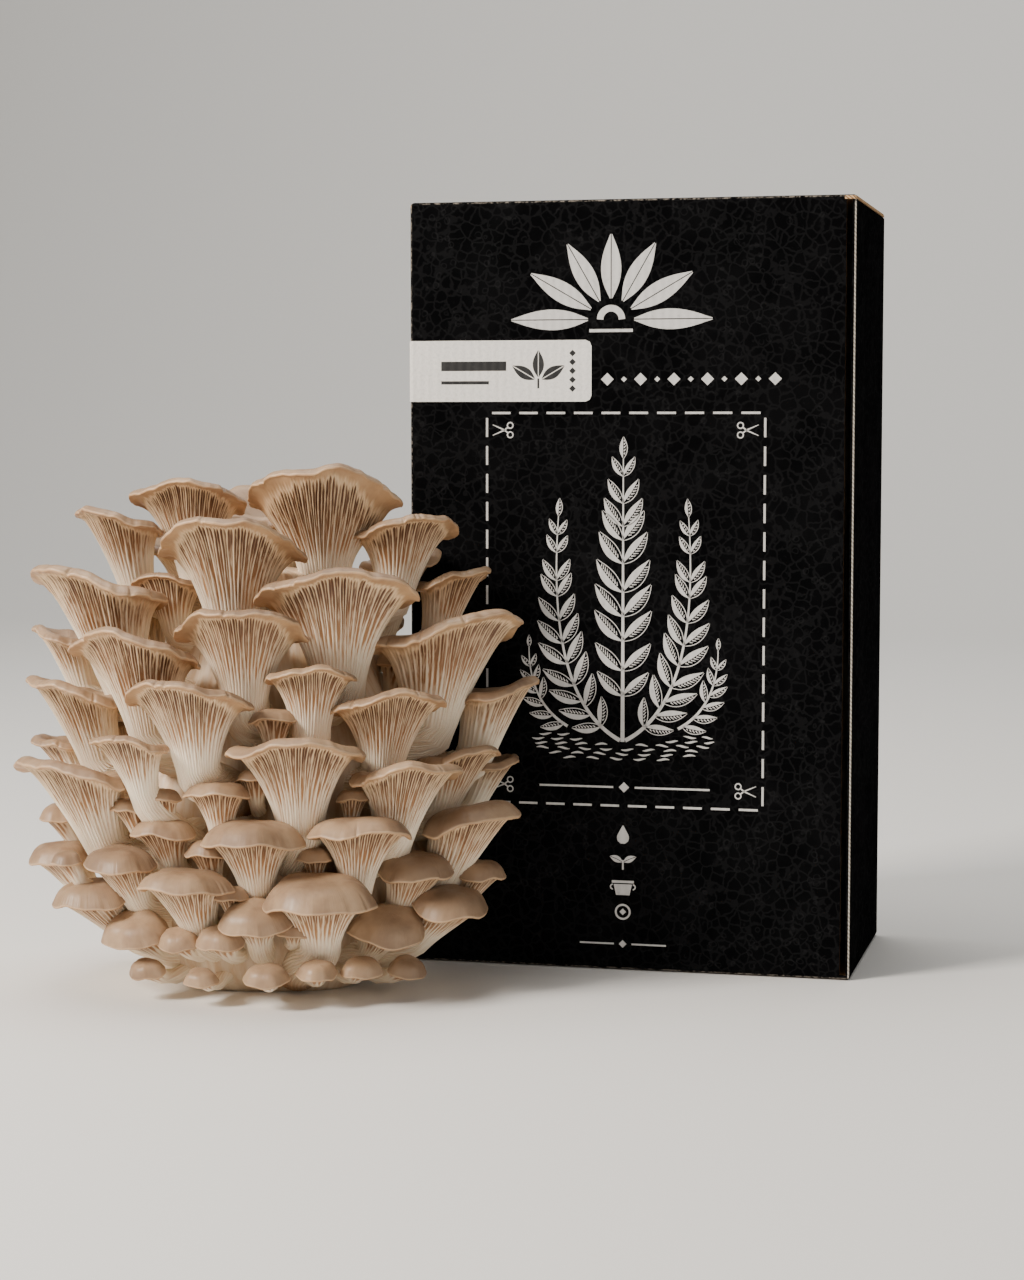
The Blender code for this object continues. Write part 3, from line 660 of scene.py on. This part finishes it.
MUSHROOMS = [
    ("crown_1", 18, -12, 176, 26, 0, 22, {"full": 0.5}),
    ("crown_2", -29, -8, 173, 20, -8, 22, {}),
    ("crown_3", -13, -30, 158, 26, -5, 23, {}),
    ("crown_4", -54, -3, 164.5, 18, -48, 18, {}),
    ("crown_5", 46, -8, 162, 19, 32, 18, {}),
    ("upper_1", 25, -36, 141.5, 27, 5, 21, {}),
    ("upper_2", -59, -18, 142.5, 26, -45, 18, {}),
    ("upper_3", -36, -14, 143, 13, -20, 18, {}),
    ("upper_4", 62, 7, 143.5, 16, 62, 16, {}),
    ("upper_5", -8, -44, 130, 22, -5, 22, {}),
    ("upper_6", 61, -16, 126, 28, 45, 18, {}),
    ("upper_7", -75, 9, 123, 15, -82, 12, {}),
    ("upper_8", -44, -37, 121.5, 24, -28, 20, {}),
    ("middle_1", 16, -46, 113.5, 15, 6, 14, {"stem": 0.42}),
    ("middle_2", -68, -12, 105.5, 21, -62, 14, {}),
    ("middle_3", 78, -2, 104.5, 19, 76, 14, {}),
    ("middle_4", -25, -51, 106.5, 21, -15, 20, {}),
    ("middle_5", 42, -38, 103.5, 20, 22, 15, {}),
    ("middle_6", -45, -50, 90.5, 14, -32, 14, {"drop": 30}),
    ("middle_7", 12, -52, 89, 23.5, 2, 13, {"drop": 22}),
    ("middle_8", 65, -19, 83, 17, 52, 12, {}),
    ("middle_9", 77, 6, 77.5, 12, 86, 8, {}),
    ("middle_10", -77, 3, 85.5, 12, -80, 4, {}),
    ("lower_1", -66, -31, 79.5, 23, -48, 13, {}),
    ("lower_2", 48, -44, 80.5, 20.5, 28, 12, {}),
    ("lower_3", -16, -49, 74, 11.5, -4, 6, {"rise": 0.1}),
    ("lower_4", 69, -24, 61.5, 20, 58, 13, {"rise": 0.08}),
    ("lower_5", -4, -54, 59.5, 17, -5, 2, {"rise": 0.16}),
    ("lower_6", 33, -51, 61.5, 17, 12, 7, {"rise": 0.1}),
    ("lower_7", -36, -40, 59.5, 12, -25, 2, {"rise": 0.14}),
    ("lower_8", -75, -12, 47, 13, -68, -6, {"rise": 0.14}),
    ("lower_9", -51, -39, 49, 14, -40, -4, {"rise": 0.14}),
    ("skirt_1", 19, -57, 40.5, 19.5, 2, -6, {"rise": 0.15}),
    ("skirt_2", 51, -35, 46, 14.5, 38, -6, {"rise": 0.14}),
    ("skirt_3", 73, -18, 41.5, 10, 65, -6, {"rise": 0.16}),
    ("skirt_4", -62, -30, 35.5, 14.5, -52, -7, {"rise": 0.16}),
    ("skirt_5", -27, -51, 43.5, 17, -20, 2, {"rise": 0.08}),
    ("skirt_6", -3, -55, 32, 12, -2, -22, {"rise": 0.2}),
    ("skirt_7", 42, -41, 27, 14, 28, -22, {"rise": 0.16}),
    ("skirt_8", 63, -32, 33, 15, 50, -9, {"rise": 0.16}),
    ("skirt_9", -46, -38, 25, 12.5, -32, -26, {"rise": 0.18}),
    ("back_1", -2, 18, 169.5, 24, 178, 20, {}),
    ("back_2", -32, 22, 156, 19, -145, 18, {}),
    ("back_3", 43, 14, 150.5, 17, 125, 16, {}),
    ("back_4", -8, 34, 140.5, 24, -176, 18, {}),
    ("back_5", -54, 18, 133, 20, -115, 14, {}),
    ("back_6", 26, 30, 127.5, 18, 160, 14, {}),
    ("back_7", -32, 38, 112, 23, -150, 14, {}),
    ("back_8", 10, 42, 106.5, 20, 174, 12, {}),
    ("back_9", -65, 19, 93, 17, -106, 12, {}),
    ("back_10", -50, 38, 73, 19, -135, 6, {}),
    ("back_11", -10, 48, 75, 21, -178, 12, {}),
    ("back_12", 30, 34, 77, 15, 155, 8, {}),
    ("back_13", -70, 15, 57.5, 14, -100, 2, {}),
    ("back_14", -27, 44, 48, 18, -160, 2, {"rise": 0.15}),
    ("back_15", 14, 44, 48, 19, 168, 2, {"rise": 0.15}),
]

# Small mushrooms, of one piece with the butt
YOUNG_SEED = 500
YOUNG_SHAPE = {"drop": 4, "rise": 0.22}
YOUNG = [
    (3, -46, 98.5, 8, 5, 10),
    (-4, -42, 77.5, 6.5, -4, 8),
    (45, -6, 116, 10, 55, 8),
    (-36, -42, 71, 6.5, -22, 6),
    (-76, -8, 60.5, 9, -80, -4),
    (-48, -36, 66.5, 7, -38, 4),
    (30, -43, 71, 6, 15, 4),
    (-70, -34, 48, 6, -58, -4),
    (-20, -46, 53, 8, -15, 0),
    (17, -46, 51, 6, 2, -5),
    (-12, -51, 38.5, 6, -5, -4),
    (-30, -47, 22.5, 7.5, -20, -22),
    (-15, -53, 24, 8.5, -10, -16),
    (18, -55, 13, 7, 4, -14),
    (33, -49, 13, 7, 18, -20),
    (1, -58, 12, 7.5, 0, -20),
    (-22, -52, 10, 6, -14, -18),
    (-42, -41, 11, 6.5, -30, -24),
    (48, -38, 11, 7, 38, -24),
    (10, -52, 27, 6, 4, -16),
    (-14, 44, 25, 16, -175, -8),
    (-56, 24, 27, 14, -118, -8),
    (32, 28, 29, 12, 145, -6),
    (60, 2, 26, 12, 95, -6),
    (-10, 41, 94, 9, -175, 8),
    (33, 27, 101.5, 10, 145, 8),
    (-14, 37, 121.5, 8, 180, 8),
    (10, 45, 19.5, 9, 172, -12),
    (-38, 37, 19.5, 10, -142, -12),
    (-54, 30, 48, 8, -122, -2),
    (-6, 47, 58.5, 8, 180, 2),
    (36, 30, 56.5, 9, 145, 0),
    (-44, 30, 101.5, 8, -130, 6),
    (12, 40, 69, 7, 170, 4),
]
print(len(MUSHROOMS), "mushrooms and", len(YOUNG), "young ones")

# %% Every grown mushroom


def show_piece(name, mesh, material, slot, *replaced):
    """Adds a finished piece that rides on the one body and stands for these solids."""
    obj = bpy.data.objects.new(name, mesh)
    bpy.context.scene.collection.objects.link(obj)
    mesh.materials.append(material)
    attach(obj, "root")
    if replaced:
        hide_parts(*replaced)
    return obj


def gill_count(half):
    """Gills round the rim: more on a larger cap, always an even number."""
    return 84 if half >= 20 else 64 if half >= 14 else 42


faces_made = 0
for number, (name, *row) in enumerate(MUSHROOMS):
    grown = mushroom_grid(row, number, gill_count(row[3]))
    mesh = grid_mesh("oyster_" + name, [grown], from_cluster)
    show_piece("oyster_" + name, mesh, flesh_material, "mushroom", "mushroom_" + name)
    faces_made += len(mesh.polygons)
print(faces_made, "faces in the grown mushrooms")

# %% [markdown]
# ## The butt
# The stems grow together into one pale foot that was cut off flat where it left the bag. Lines of grown-
# together stems still run up it. It is an oval tube with ridges round it, closed at the top and flat below,
# and the young mushrooms that are of one piece with it belong to the same mesh. It takes the stems'
# tan-brown foot colour, partly staining and partly painted shade, with painted shade in its furrows.

# %% The butt and the young mushrooms


def butt_grid(around=270, rings=44):
    """An oval tube whose rings lie closer together towards the cut.

    Half width and half depth = BUTT * slow ridges + push, where push is narrow ridges of stems and finer
    lines, both 0 at the cut."""
    heights, widths, depths = np.array(BUTT, float).T
    h = heights[-1] * np.linspace(0, 1, rings)[:, None] ** 1.2
    u = np.linspace(0, 2 * math.pi, around, endpoint=False)[None, :]
    half_width = np.interp(h[:, 0], heights, widths)[:, None]
    half_depth = np.interp(h[:, 0], heights, depths)[:, None]
    ridges = 1 + 0.07 * np.sin(3 * u + 0.05 * h) + 0.05 * np.sin(5 * u - 0.08 * h)
    stems = np.abs(np.sin(9 * u + 0.6 * np.sin(0.05 * h + 2 * u))) ** 0.7 - 0.6
    fine = 0.4 * np.sin(41 * u + 3 * np.sin(0.04 * h + 3 * u)) * np.sin(0.09 * h + 5 * u)
    push = np.minimum(1, h / 8) * (2.4 * stems + 0.5 * fine)
    grid = np.stack([
        (half_width * ridges + push) * np.cos(u),
        (half_depth * ridges + push) * np.sin(u),
        h + 0 * u,
    ], axis=-1)
    # Band 0.3 gives the butt the stems' tan-brown foot colour, partly staining and partly painted shade, and
    # its groove paints shade in the furrows between the grown-together stems
    band = np.full(grid.shape[:2], 0.3)
    groove = 0.9 * (0.4 - stems) / 1.6 + 0 * band
    return grid, band, groove, np.zeros(3), np.array([0.0, 0.0, heights[-1] + 3])


shells = [butt_grid()]
for number, row in enumerate(YOUNG):
    shells.append(mushroom_grid((*row, YOUNG_SHAPE), YOUNG_SEED + number, 20, 4, 11))
butt_mesh = grid_mesh("oyster_butt", shells, from_cluster)
show_piece("oyster_butt", butt_mesh, flesh("butt flesh"), "butt", "cluster_butt")
print(len(butt_mesh.polygons), "faces in the butt and the young ones")

# %% [markdown]
# ## The carton's board
# The carton is one sheet of black printed board. Its surface has a fine relief of irregular cells and small
# rings, with a painted sheen that makes their raised lines a little lighter, and the flutes inside the
# board show as faint upright waves. Folds are scuffed, and a cut edge shows the brown kraft with its
# flutes. Seen along its side, even a faint shine would mirror the pale studio, so the board has none. The
# imported carton already has the right folds, seam and lid, so it keeps its own mesh, and the material
# finds edges by the distance to each face of the box. A flap of the lid hangs down just inside the back
# wall, and keeps light out of the slit under the lid.

# %% Black board that knows where its edges are
BOARD, SEAM_WIDTH = 1.6 * MM, 2.2 * MM


def board():
    """Black print with relief and scuffed folds, kraft where the board is cut, and brown inside."""
    made = Finish("black board", specular_ior_level=0.0)
    width, depth, tall = (float(v) for v in carton_size)
    x, y, z = (made.along(axis) - float(corner[axis]) for axis in range(3))

    def close(distance, reach=1.3 * MM):
        """1 on a face of the box, falling to 0 at the reach inside it."""
        return 1.0 - made.ramp(distance, 0.15 * MM, reach)

    cells = made.node("ShaderNodeTexVoronoi", {"feature": "DISTANCE_TO_EDGE"},
                      {"Vector": made.bent(0.0012), "Scale": 240.0})
    rings = made.node("ShaderNodeTexVoronoi", {"feature": "F1"},
                      {"Vector": made.bent(0.0008), "Scale": 270.0})
    lines = 1.0 - made.ramp(cells, 0.03, 0.11)
    ring_lines = made.ramp(rings, 0.2, 0.27) * (1.0 - made.ramp(rings, 0.3, 0.38))
    relief = lines + ring_lines * made.ramp(made.noise(120.0), 0.45, 0.55)
    flutes = made.flutes()

    near_x, near_y = close(x) + close(width - x), close(y) + close(depth - y)
    near_z = close(z) + close(tall - z)
    folds = near_x * near_y + near_x * near_z + near_y * near_z
    scuffs = made.ramp(folds, 0.2, 0.8) * made.ramp(made.noise(700.0, 4.0, 0.7), 0.44, 0.62)
    # Kraft: the lid's cut edge, on every side but the front, and in front where it ends over the seam
    lid = made.ramp(z, tall - BOARD - 0.12 * MM, tall - BOARD)
    lid = lid * (1.0 - made.ramp(z, tall - 0.45 * MM, tall - 0.2 * MM))
    lid_ends = close(width - x, 0.9 * MM) + close(x, 0.9 * MM) + close(depth - y, 0.9 * MM)
    seam = width - BOARD - SEAM_WIDTH
    over_seam = made.ramp(x, seam - 0.8 * MM, seam - 0.4 * MM) * close(y, 0.9 * MM)
    # The pale end of the right wall, beside the seam and below the lid
    wall_end = made.ramp(x, width - 0.95 * MM, width - 0.75 * MM) * close(y, 0.9 * MM)
    wall_end = wall_end * (1.0 - made.ramp(z, tall - 2.6 * MM, tall - 2.1 * MM))
    # The plain brown of the inner side
    inside = made.ramp(x, 1.1 * MM, 1.3 * MM) * made.ramp(width - x, 1.1 * MM, 1.3 * MM)
    inside = inside * made.ramp(y, 1.1 * MM, 1.3 * MM) * made.ramp(depth - y, 1.1 * MM, 1.3 * MM)
    inside = inside * made.ramp(tall - z, 1.4 * MM, 1.55 * MM)
    beads = made.node("ShaderNodeTexWave", {"bands_direction": "DIAGONAL"},
                      {"Vector": made.place(), "Scale": 420.0})

    black = made.blend(made.ramp(made.noise(60.0), 0.35, 0.65), colour(8, 8, 9), colour(13, 13, 14))
    # The raised lines of the relief a little lighter: a painted sheen, since the board has no shine of its
    # own
    black = made.blend(relief * 0.4, black, colour(30, 30, 31))
    black = made.blend(scuffs * 0.75, black, colour(150, 141, 130))
    kraft = made.blend(made.ramp(beads, 0.25, 0.7), colour(132, 98, 66), colour(206, 172, 134))
    pale_end = made.blend(made.ramp(beads, 0.2, 0.6), colour(168, 158, 144), colour(216, 208, 196))
    shown = made.blend(lid * made.ramp(lid_ends + over_seam, 0.35, 0.6), black, kraft)
    shown = made.blend(made.ramp(wall_end, 0.35, 0.7), shown, pale_end)
    made.feed(
        base_color=made.blend(inside, shown, colour(150, 118, 84)),
        roughness=0.56 - 0.1 * relief + 0.3 * scuffs + 0.25 * inside,
    )
    weak = made.bump(flutes, 0.12, 0.0002)
    made.feed(normal=made.bump(relief, 0.09, 0.0002, weak))
    return made.material


def dress(node, material):
    """Gives a carried-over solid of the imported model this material."""
    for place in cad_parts[node].material_slots:
        place.material = material


# From the box's faces to the flap, and the flap's own sizes
FLAP_SIDE_GAP, FLAP_TOP_GAP, FLAP_BACK_GAP = 4.0 * MM, 1.65 * MM, 1.9 * MM
FLAP_THICKNESS, FLAP_HEIGHT = 1.0 * MM, 22.0 * MM


def tuck_flap():
    """The lid's flap: a sheet that hangs down inside the back wall, in front of the slit under the lid."""
    high = corner + carton_size - Vector((FLAP_SIDE_GAP, FLAP_BACK_GAP, FLAP_TOP_GAP))
    low = Vector((corner.x + FLAP_SIDE_GAP, high.y - FLAP_THICKNESS, high.z - FLAP_HEIGHT))
    plan = ((low.x, low.y), (high.x, low.y), (high.x, high.y), (low.x, high.y))
    points = [(x, y, z) for z in (low.z, high.z) for x, y in plan]
    faces = [(0, 3, 2, 1), (4, 5, 6, 7), (0, 1, 5, 4), (1, 2, 6, 5), (2, 3, 7, 6), (3, 0, 4, 7)]
    mesh = bpy.data.meshes.new("lid_flap")
    mesh.from_pydata(points, [], faces)
    return mesh


board_material = board()
dress("carton", board_material)
show_piece("lid_flap", tuck_flap(), board_material, "carton")
print(len(board_material.node_tree.nodes), "nodes in the board")

# %% [markdown]
# ## Printed marks
# The print on the front is light grey ink: a fan of seven leaves at the top, a row of diamonds, a dashed
# cutting frame with four pairs of scissors, and inside it a plant drawn in the manner of a woodcut. Below
# are four small signs: a drop, a seedling, a pot and a ring. Every mark is a strip between two edges, with
# the thickness of thick ink. Places are millimetres from the front's left bottom corner.

# %% Strips of ink


def strip(line, widths):
    """Left and right edges of a line of points: each edge lies half the width away, square to the line."""
    line = np.asarray(line, float)
    way = unit(np.gradient(line, axis=0))
    aside = np.stack([-way[:, 1], way[:, 0]], axis=1) * np.broadcast_to(widths, len(line))[:, None] / 2
    return np.stack([line + aside, line - aside], axis=1)


def ring(centre, radius, width, start=0.0, end=360.0, count=25):
    """An open or closed circle as a strip."""
    turn = np.radians(np.linspace(start, end, count))
    return strip(np.array(centre) + radius * np.stack([np.cos(turn), np.sin(turn)], axis=1), width)


def leaf_edges(base, angle, length, width, bend=0.0, count=13):
    """A leaf's midrib, its half width along it, and the direction square to it.

    Half width = width / 2 * sin(pi t)^0.8 * (1.15 - 0.3 t), all but pointed at both ends."""
    t = np.linspace(0, 1, count)
    turn = angle + bend * t
    steps = np.stack([np.cos(turn), np.sin(turn)], axis=1) * length / (count - 1)
    rib = np.array(base) + np.cumsum(steps, axis=0) - steps[0]
    half = width / 2 * np.sin(math.pi * np.clip(t, 0.02, 0.98)) ** 0.8 * (1.15 - 0.3 * t)
    return rib, half, np.stack([-np.sin(turn), np.cos(turn)], axis=1)


def solid_leaf(base, angle, length, width, bend=0.0, slit=0.35):
    """Two full halves with a slit along the midrib between them."""
    rib, half, aside = leaf_edges(base, angle, length, width, bend)
    gap = np.minimum(slit / 2, half * 0.4)
    return [
        np.stack([rib + aside * half[:, None] * way, rib + aside * gap[:, None] * way], axis=1)[:, ::way]
        for way in (1, -1)
    ]


def cut_leaf(base, angle, length, width, bend=0.0):
    """A woodcut leaf: one half full, the other half an edge line and short slanting strokes."""
    rib, half, aside = leaf_edges(base, angle, length, width, bend)
    slit = np.minimum(0.12, half * 0.4)
    full = np.stack([rib + aside * half[:, None], rib + aside * slit[:, None]], axis=1)
    edge = strip(rib - aside * half[:, None], np.clip(half * 0.35, 0.12, 0.3))
    marks = [full, edge]
    for t in np.arange(0.2, 0.86, 1.15 / length):
        k = t * (len(rib) - 1)
        spot = np.array([np.interp(k, np.arange(len(rib)), rib[:, c]) for c in (0, 1)])
        out = np.array([np.interp(k, np.arange(len(rib)), -aside[:, c]) for c in (0, 1)])
        reach = np.interp(k, np.arange(len(rib)), half)
        lean = unit(out + 0.9 * np.array([math.cos(angle + bend * t), math.sin(angle + bend * t)]))
        start, end = spot + out * 0.18, spot + lean * reach * 0.9
        marks.append(strip(np.linspace(start, end, 4), (0.5, 0.42, 0.3, 0.1)))
    return marks


# %% The plant inside the cutting frame


def frond(curve, leaf, taken):
    """A spine on a quadratic curve with three control points, and pairs of leaves.

    A leaf that would cross one already drawn is left out, as if it lay behind, and the spine starts past its
    last place that lies behind another plant."""
    count = 60
    start, pull, end = np.array(curve, float)
    t = np.linspace(0, 1, count)[:, None]
    spine = (1 - t) ** 2 * start + 2 * t * (1 - t) * pull + t * t * end
    length = np.linalg.norm(np.diff(spine, axis=0), axis=1).sum()
    way_x, way_y = np.gradient(spine, axis=0).T
    turn = np.arctan2(way_y, way_x)
    free = clear_of(spine, taken, 0.9)
    first = min(count - int(np.argmin(free[::-1])), count - 2) if not free.all() else 0
    marks = [strip(spine[first:], np.linspace(1.5, 0.35, count)[first:])]
    drawn = [spine[first:]]
    spacing = 0.36 * leaf / length
    for spot in np.arange(0.16, 0.97, spacing):
        k = int(spot * (count - 1))
        size = leaf * (0.45 + 0.75 * math.sin(math.pi * min(1, 0.12 + 0.86 * spot)))
        for way in (1, -1):
            lean = turn[k] + way * math.radians(62 - 22 * spot)
            rib, half, aside = leaf_edges(spine[k], lean, size, 0.34 * size, -way * 0.35)
            reach = aside[3:] * half[3:, None]
            cover = np.vstack([rib[3:], rib[3:] + reach, rib[3:] - reach])
            apart = clear_of(cover, taken, 0.8).all() and clear_of(cover, drawn[1:], 0.45).all()
            if k >= first and apart:
                marks += cut_leaf(spine[k], lean, size, 0.34 * size, -way * 0.35)
                drawn.append(cover)
    tip = cut_leaf(spine[-1], turn[-1], 0.6 * leaf, 0.22 * leaf)
    return marks + tip, taken + drawn + [spine]


def clear_of(points, taken, distance):
    """For each point, whether it is at least this far from everything that is drawn already."""
    if not taken:
        return np.ones(len(points), bool)
    away = np.linalg.norm(points[:, None] - np.vstack(taken)[None], axis=2)
    return away.min(axis=1) > distance


PLANT_MIDDLE, PLANT_FOOT = 80, 84
plant, taken = [], []
for reach, pull_height, end_reach, end_height, leaf in (
    (0, 140, 0, 187, 13), (29, 98, 24, 166, 11), (-29, 98, -24, 166, 11), (35, 86, 35, 118, 7.5),
    (-35, 86, -35, 118, 7.5),
):
    pull, end = (PLANT_MIDDLE + reach, pull_height), (PLANT_MIDDLE + end_reach, end_height)
    marks, taken = frond(((PLANT_MIDDLE, PLANT_FOOT), pull, end), leaf, taken)
    plant += marks
# The ground at its foot: rows of short strokes that fill an oval
for row in range(7):
    z = PLANT_FOOT + 4 - 1.7 * row
    reach = 34 * math.sqrt(1 - ((row - 2.5) / 4.6) ** 2)
    for start in np.arange(-reach, reach - 3, 6.3 + 0.4 * row):
        x = np.linspace(start, min(start + 4.6, reach), 7)
        line = np.stack([PLANT_MIDDLE + x + 1.1 * (row % 2), z + 0.3 * np.sin(0.9 * x + row)], axis=1)
        if clear_of(line, taken, 0.9).all():
            plant.append(strip(line, 0.75 * np.sin(np.linspace(0.25, math.pi - 0.25, 7))))
print(len(plant), "strips in the plant")

# %% The other marks on the front, and those on the label
FRAME_LEFT, FRAME_RIGHT, FRAME_LOW, FRAME_HIGH = 29.2, 131.5, 60.5, 203.4
DASH, PITCH, DASH_WIDTH = 6.9, 10.2, 0.8
FAN_MIDDLE, FAN_HEIGHT = 75.3, 237.0
ROW_START, ROW_PITCH, ROW_HEIGHT = 74.0, 6.1, 215.5
FRAME_LINE, LOWEST_LINE = 67.3, 9.5
SIGN_MIDDLE, RING_HEIGHT = 80.3, 21.4
SPRIG_MIDDLE, SPRIG_HEIGHT = 48.5, 214.9


def bar(start, end, width):
    """A straight strip of one width."""
    return strip(np.linspace(start, end, 2), width)


def diamond(x, z, size):
    """A strip that is widest in its middle and almost nothing at its ends."""
    return strip([(x - size, z), (x, z), (x + size, z)], (0.1, 2 * size, 0.1))


def scissors(x, z, way):
    """Two crossed blades that point one way, and a ring at the other end of each."""
    marks = []
    for up in (1, -1):
        blade = [(x - 3.8 * way, z + 1.9 * up), (x + 0.4 * way, z + 0.1 * up), (x + 1.7 * way, z - 0.9 * up)]
        marks.append(strip(blade, (0.25, 0.55, 0.5)))
        marks.append(ring((x + 2.7 * way, z - 1.7 * up), 1.05, 0.45))
    return marks


front = []
for turn in np.linspace(0, math.pi, 7):
    base = (FAN_MIDDLE + 8.5 * math.cos(turn), FAN_HEIGHT + 7.5 * math.sin(turn))
    front += solid_leaf(base, turn, 28.5 - 5.5 * math.sin(turn), 7.4)
front.append(ring((FAN_MIDDLE, FAN_HEIGHT), 4.0, 2.4, 0, 180, 17))
front.append(bar((FAN_MIDDLE - 8, FAN_HEIGHT - 4), (FAN_MIDDLE + 8, FAN_HEIGHT - 4), 1.1))
for k in range(11):
    front.append(diamond(ROW_START + ROW_PITCH * k, ROW_HEIGHT, 2.3 if k % 2 == 0 else 1.0))
for k in range(10):
    x = FRAME_LEFT + 1.9 + PITCH * k
    front += [bar((x, z), (x + DASH, z), DASH_WIDTH) for z in (FRAME_LOW, FRAME_HIGH)]
for k in range(14):
    z = FRAME_LOW + 1.6 + PITCH * k
    front += [bar((x, z), (x, z + DASH), DASH_WIDTH) for x in (FRAME_LEFT, FRAME_RIGHT)]
for x, way in ((35.2, 1), (125.3, -1)):
    front += [mark for z in (67.2, 197.2) for mark in scissors(x, z, way)]
front += [bar((x, FRAME_LINE), (x + 27.6, FRAME_LINE), 0.7) for x in (49.0, 84.6)]
front.append(diamond(80.6, FRAME_LINE, 1.9))
# The four signs, from the top: a drop, a seedling, a pot and a ring
drop_line = np.stack([np.full(9, SIGN_MIDDLE), np.linspace(46.6, 53.2, 9)], axis=1)
front.append(strip(drop_line, 4.4 * np.sqrt([0.12, 0.72, 0.98, 1, 0.8, 0.48, 0.24, 0.08, 0.01])))
front += [bar((SIGN_MIDDLE, 37.0), (SIGN_MIDDLE, 40.5), 0.6)]
for way in (1, -1):
    front += solid_leaf((SIGN_MIDDLE + 0.3 * way, 39.8), math.pi / 2 - way * 1.0, 5.0, 2.4, -way * 0.3, 0.25)
front += [strip([(SIGN_MIDDLE, 27.6), (SIGN_MIDDLE, 31.6)], (5.0, 6.8)), bar((76.2, 32.5), (84.4, 32.5), 0.9)]
front += [ring((76.6, 30.6), 0.9, 0.45, 90, 270, 11), ring((84.0, 30.6), 0.9, 0.45, -90, 90, 11)]
front += [ring((SIGN_MIDDLE, RING_HEIGHT), 2.6, 0.7), diamond(SIGN_MIDDLE, RING_HEIGHT, 1.2)]
front += [bar((start, LOWEST_LINE), (end, LOWEST_LINE), 0.6) for start, end in ((64.3, 77.0), (83.6, 96.4))]
front.append(diamond(SIGN_MIDDLE, LOWEST_LINE, 1.4))
label_marks = [bar((12.0, 220.4), (36.5, 220.4), 3.4), bar((12.0, 214.4), (30.0, 214.4), 1.2)]
for turn in (30, 90, 150):
    turn = math.radians(turn)
    base = (SPRIG_MIDDLE + 1.6 * math.cos(turn), SPRIG_HEIGHT + 1.6 * math.sin(turn))
    label_marks += solid_leaf(base, turn, 9.5, 4.2)
label_marks.append(bar((SPRIG_MIDDLE, 212.3), (SPRIG_MIDDLE, 215.9), 0.7))
label_marks += [diamond(61.2, 212.2 + 3.2 * k, 1.2) for k in range(5)]
print(len(front), "other strips on the front,", len(label_marks), "on the label")

# %% Strips become thin closed prisms
# The outer and inner side of the ink, in millimetres in front of the carton: on the carton and on the label
CARTON_INK = (0.05, 0.01)
LABEL_INK = (0.44, 0.41)


def ink_mesh(name, strips, outer, inner):
    """Each strip as a closed prism between two depths in front of the carton: four edges that are carried
    along the strip, quads between them, and a quad at either end."""
    points, faces = [], []
    start = 0
    for edges in strips:
        count = len(edges)
        left, right = edges[:, 0], edges[:, 1]
        tube = np.empty((count, 4, 3))
        tube[:, (0, 3)] = np.stack([left[:, 0], np.zeros(count), left[:, 1]], axis=1)[:, None]
        tube[:, (1, 2)] = np.stack([right[:, 0], np.zeros(count), right[:, 1]], axis=1)[:, None]
        tube[:, (0, 1), 1] = -outer
        tube[:, (2, 3), 1] = -inner
        index = start + np.arange(4 * count).reshape(count, 4)
        after = np.roll(index, -1, axis=1)
        faces.append(np.stack([index[:-1], after[:-1], after[1:], index[1:]], axis=-1).reshape(-1, 4))
        faces.append(np.stack([index[0, ::-1], index[-1]]))
        points.append(tube.reshape(-1, 3))
        start += 4 * count
    mesh = bpy.data.meshes.new(name)
    places = np.vstack(points) * MM + np.array(corner)
    mesh.from_pydata(places.tolist(), [], np.vstack(faces).tolist())
    mesh.validate()
    return mesh


def ink(name, light, dark, roughness):
    """Printed ink: a little thinner in spots, and over the flutes."""
    made = Finish(name, specular_ior_level=0.4)
    spots = made.ramp(made.noise(520.0, 3.0, 0.6), 0.5, 0.75)
    flutes = made.flutes()
    made.feed(
        base_color=made.blend(0.35 * spots + 0.18 * flutes, light, dark),
        roughness=roughness + 0.15 * spots,
        normal=made.bump(flutes, 0.2, 0.00025),
    )
    return made.material


light_ink = ink("light grey ink", colour(208, 206, 203), colour(158, 156, 153), 0.45)
dark_ink = ink("dark ink", colour(26, 26, 27), colour(54, 53, 52), 0.45)
for name, strips, depths, ink_material, slot in (
    ("front_print", front, CARTON_INK, light_ink, "carton"),
    ("plant_print", plant, CARTON_INK, light_ink, "carton"),
    ("label_print", label_marks, LABEL_INK, dark_ink, "label"),
):
    printed = show_piece(name, ink_mesh(name, strips, *depths), ink_material, slot)
    print(name, "has", len(printed.data.polygons), "faces")

# %% [markdown]
# ## Label and grow block
# The label is white paper that has taken on the waves of the board below it. The grow block stays hidden in
# the closed carton: sawdust in a bag, grown through with white threads, so it gets white clouds on brown.

# %% Paper and the grown block


def paper():
    """White with fine fibres, and the board's flutes as a weak bump."""
    made = Finish("label paper", specular_ior_level=0.35)
    fibres = made.noise(900.0, 4.0, 0.7)
    flutes = made.flutes()
    made.feed(
        base_color=made.blend(made.ramp(fibres, 0.4, 0.7), colour(232, 229, 223), colour(216, 213, 207)),
        roughness=0.5 + 0.15 * fibres,
        normal=made.bump(flutes + 0.3 * fibres, 0.25, 0.00025),
    )
    return made.material


def grown_block():
    """White clouds on brown, rougher where they are white."""
    made = Finish("grown block", specular_ior_level=0.5)
    threads = made.ramp(made.noise(60.0, 6.0, 0.7), 0.38, 0.62)
    made.feed(
        base_color=made.blend(threads, colour(104, 80, 58), colour(198, 188, 172)),
        roughness=0.35 + 0.3 * threads,
        normal=made.bump(threads, 0.4, 0.001),
    )
    return made.material


dress("label", paper())
dress("grow_block", grown_block())
print("carried over:", [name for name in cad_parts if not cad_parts[name].hide_render])
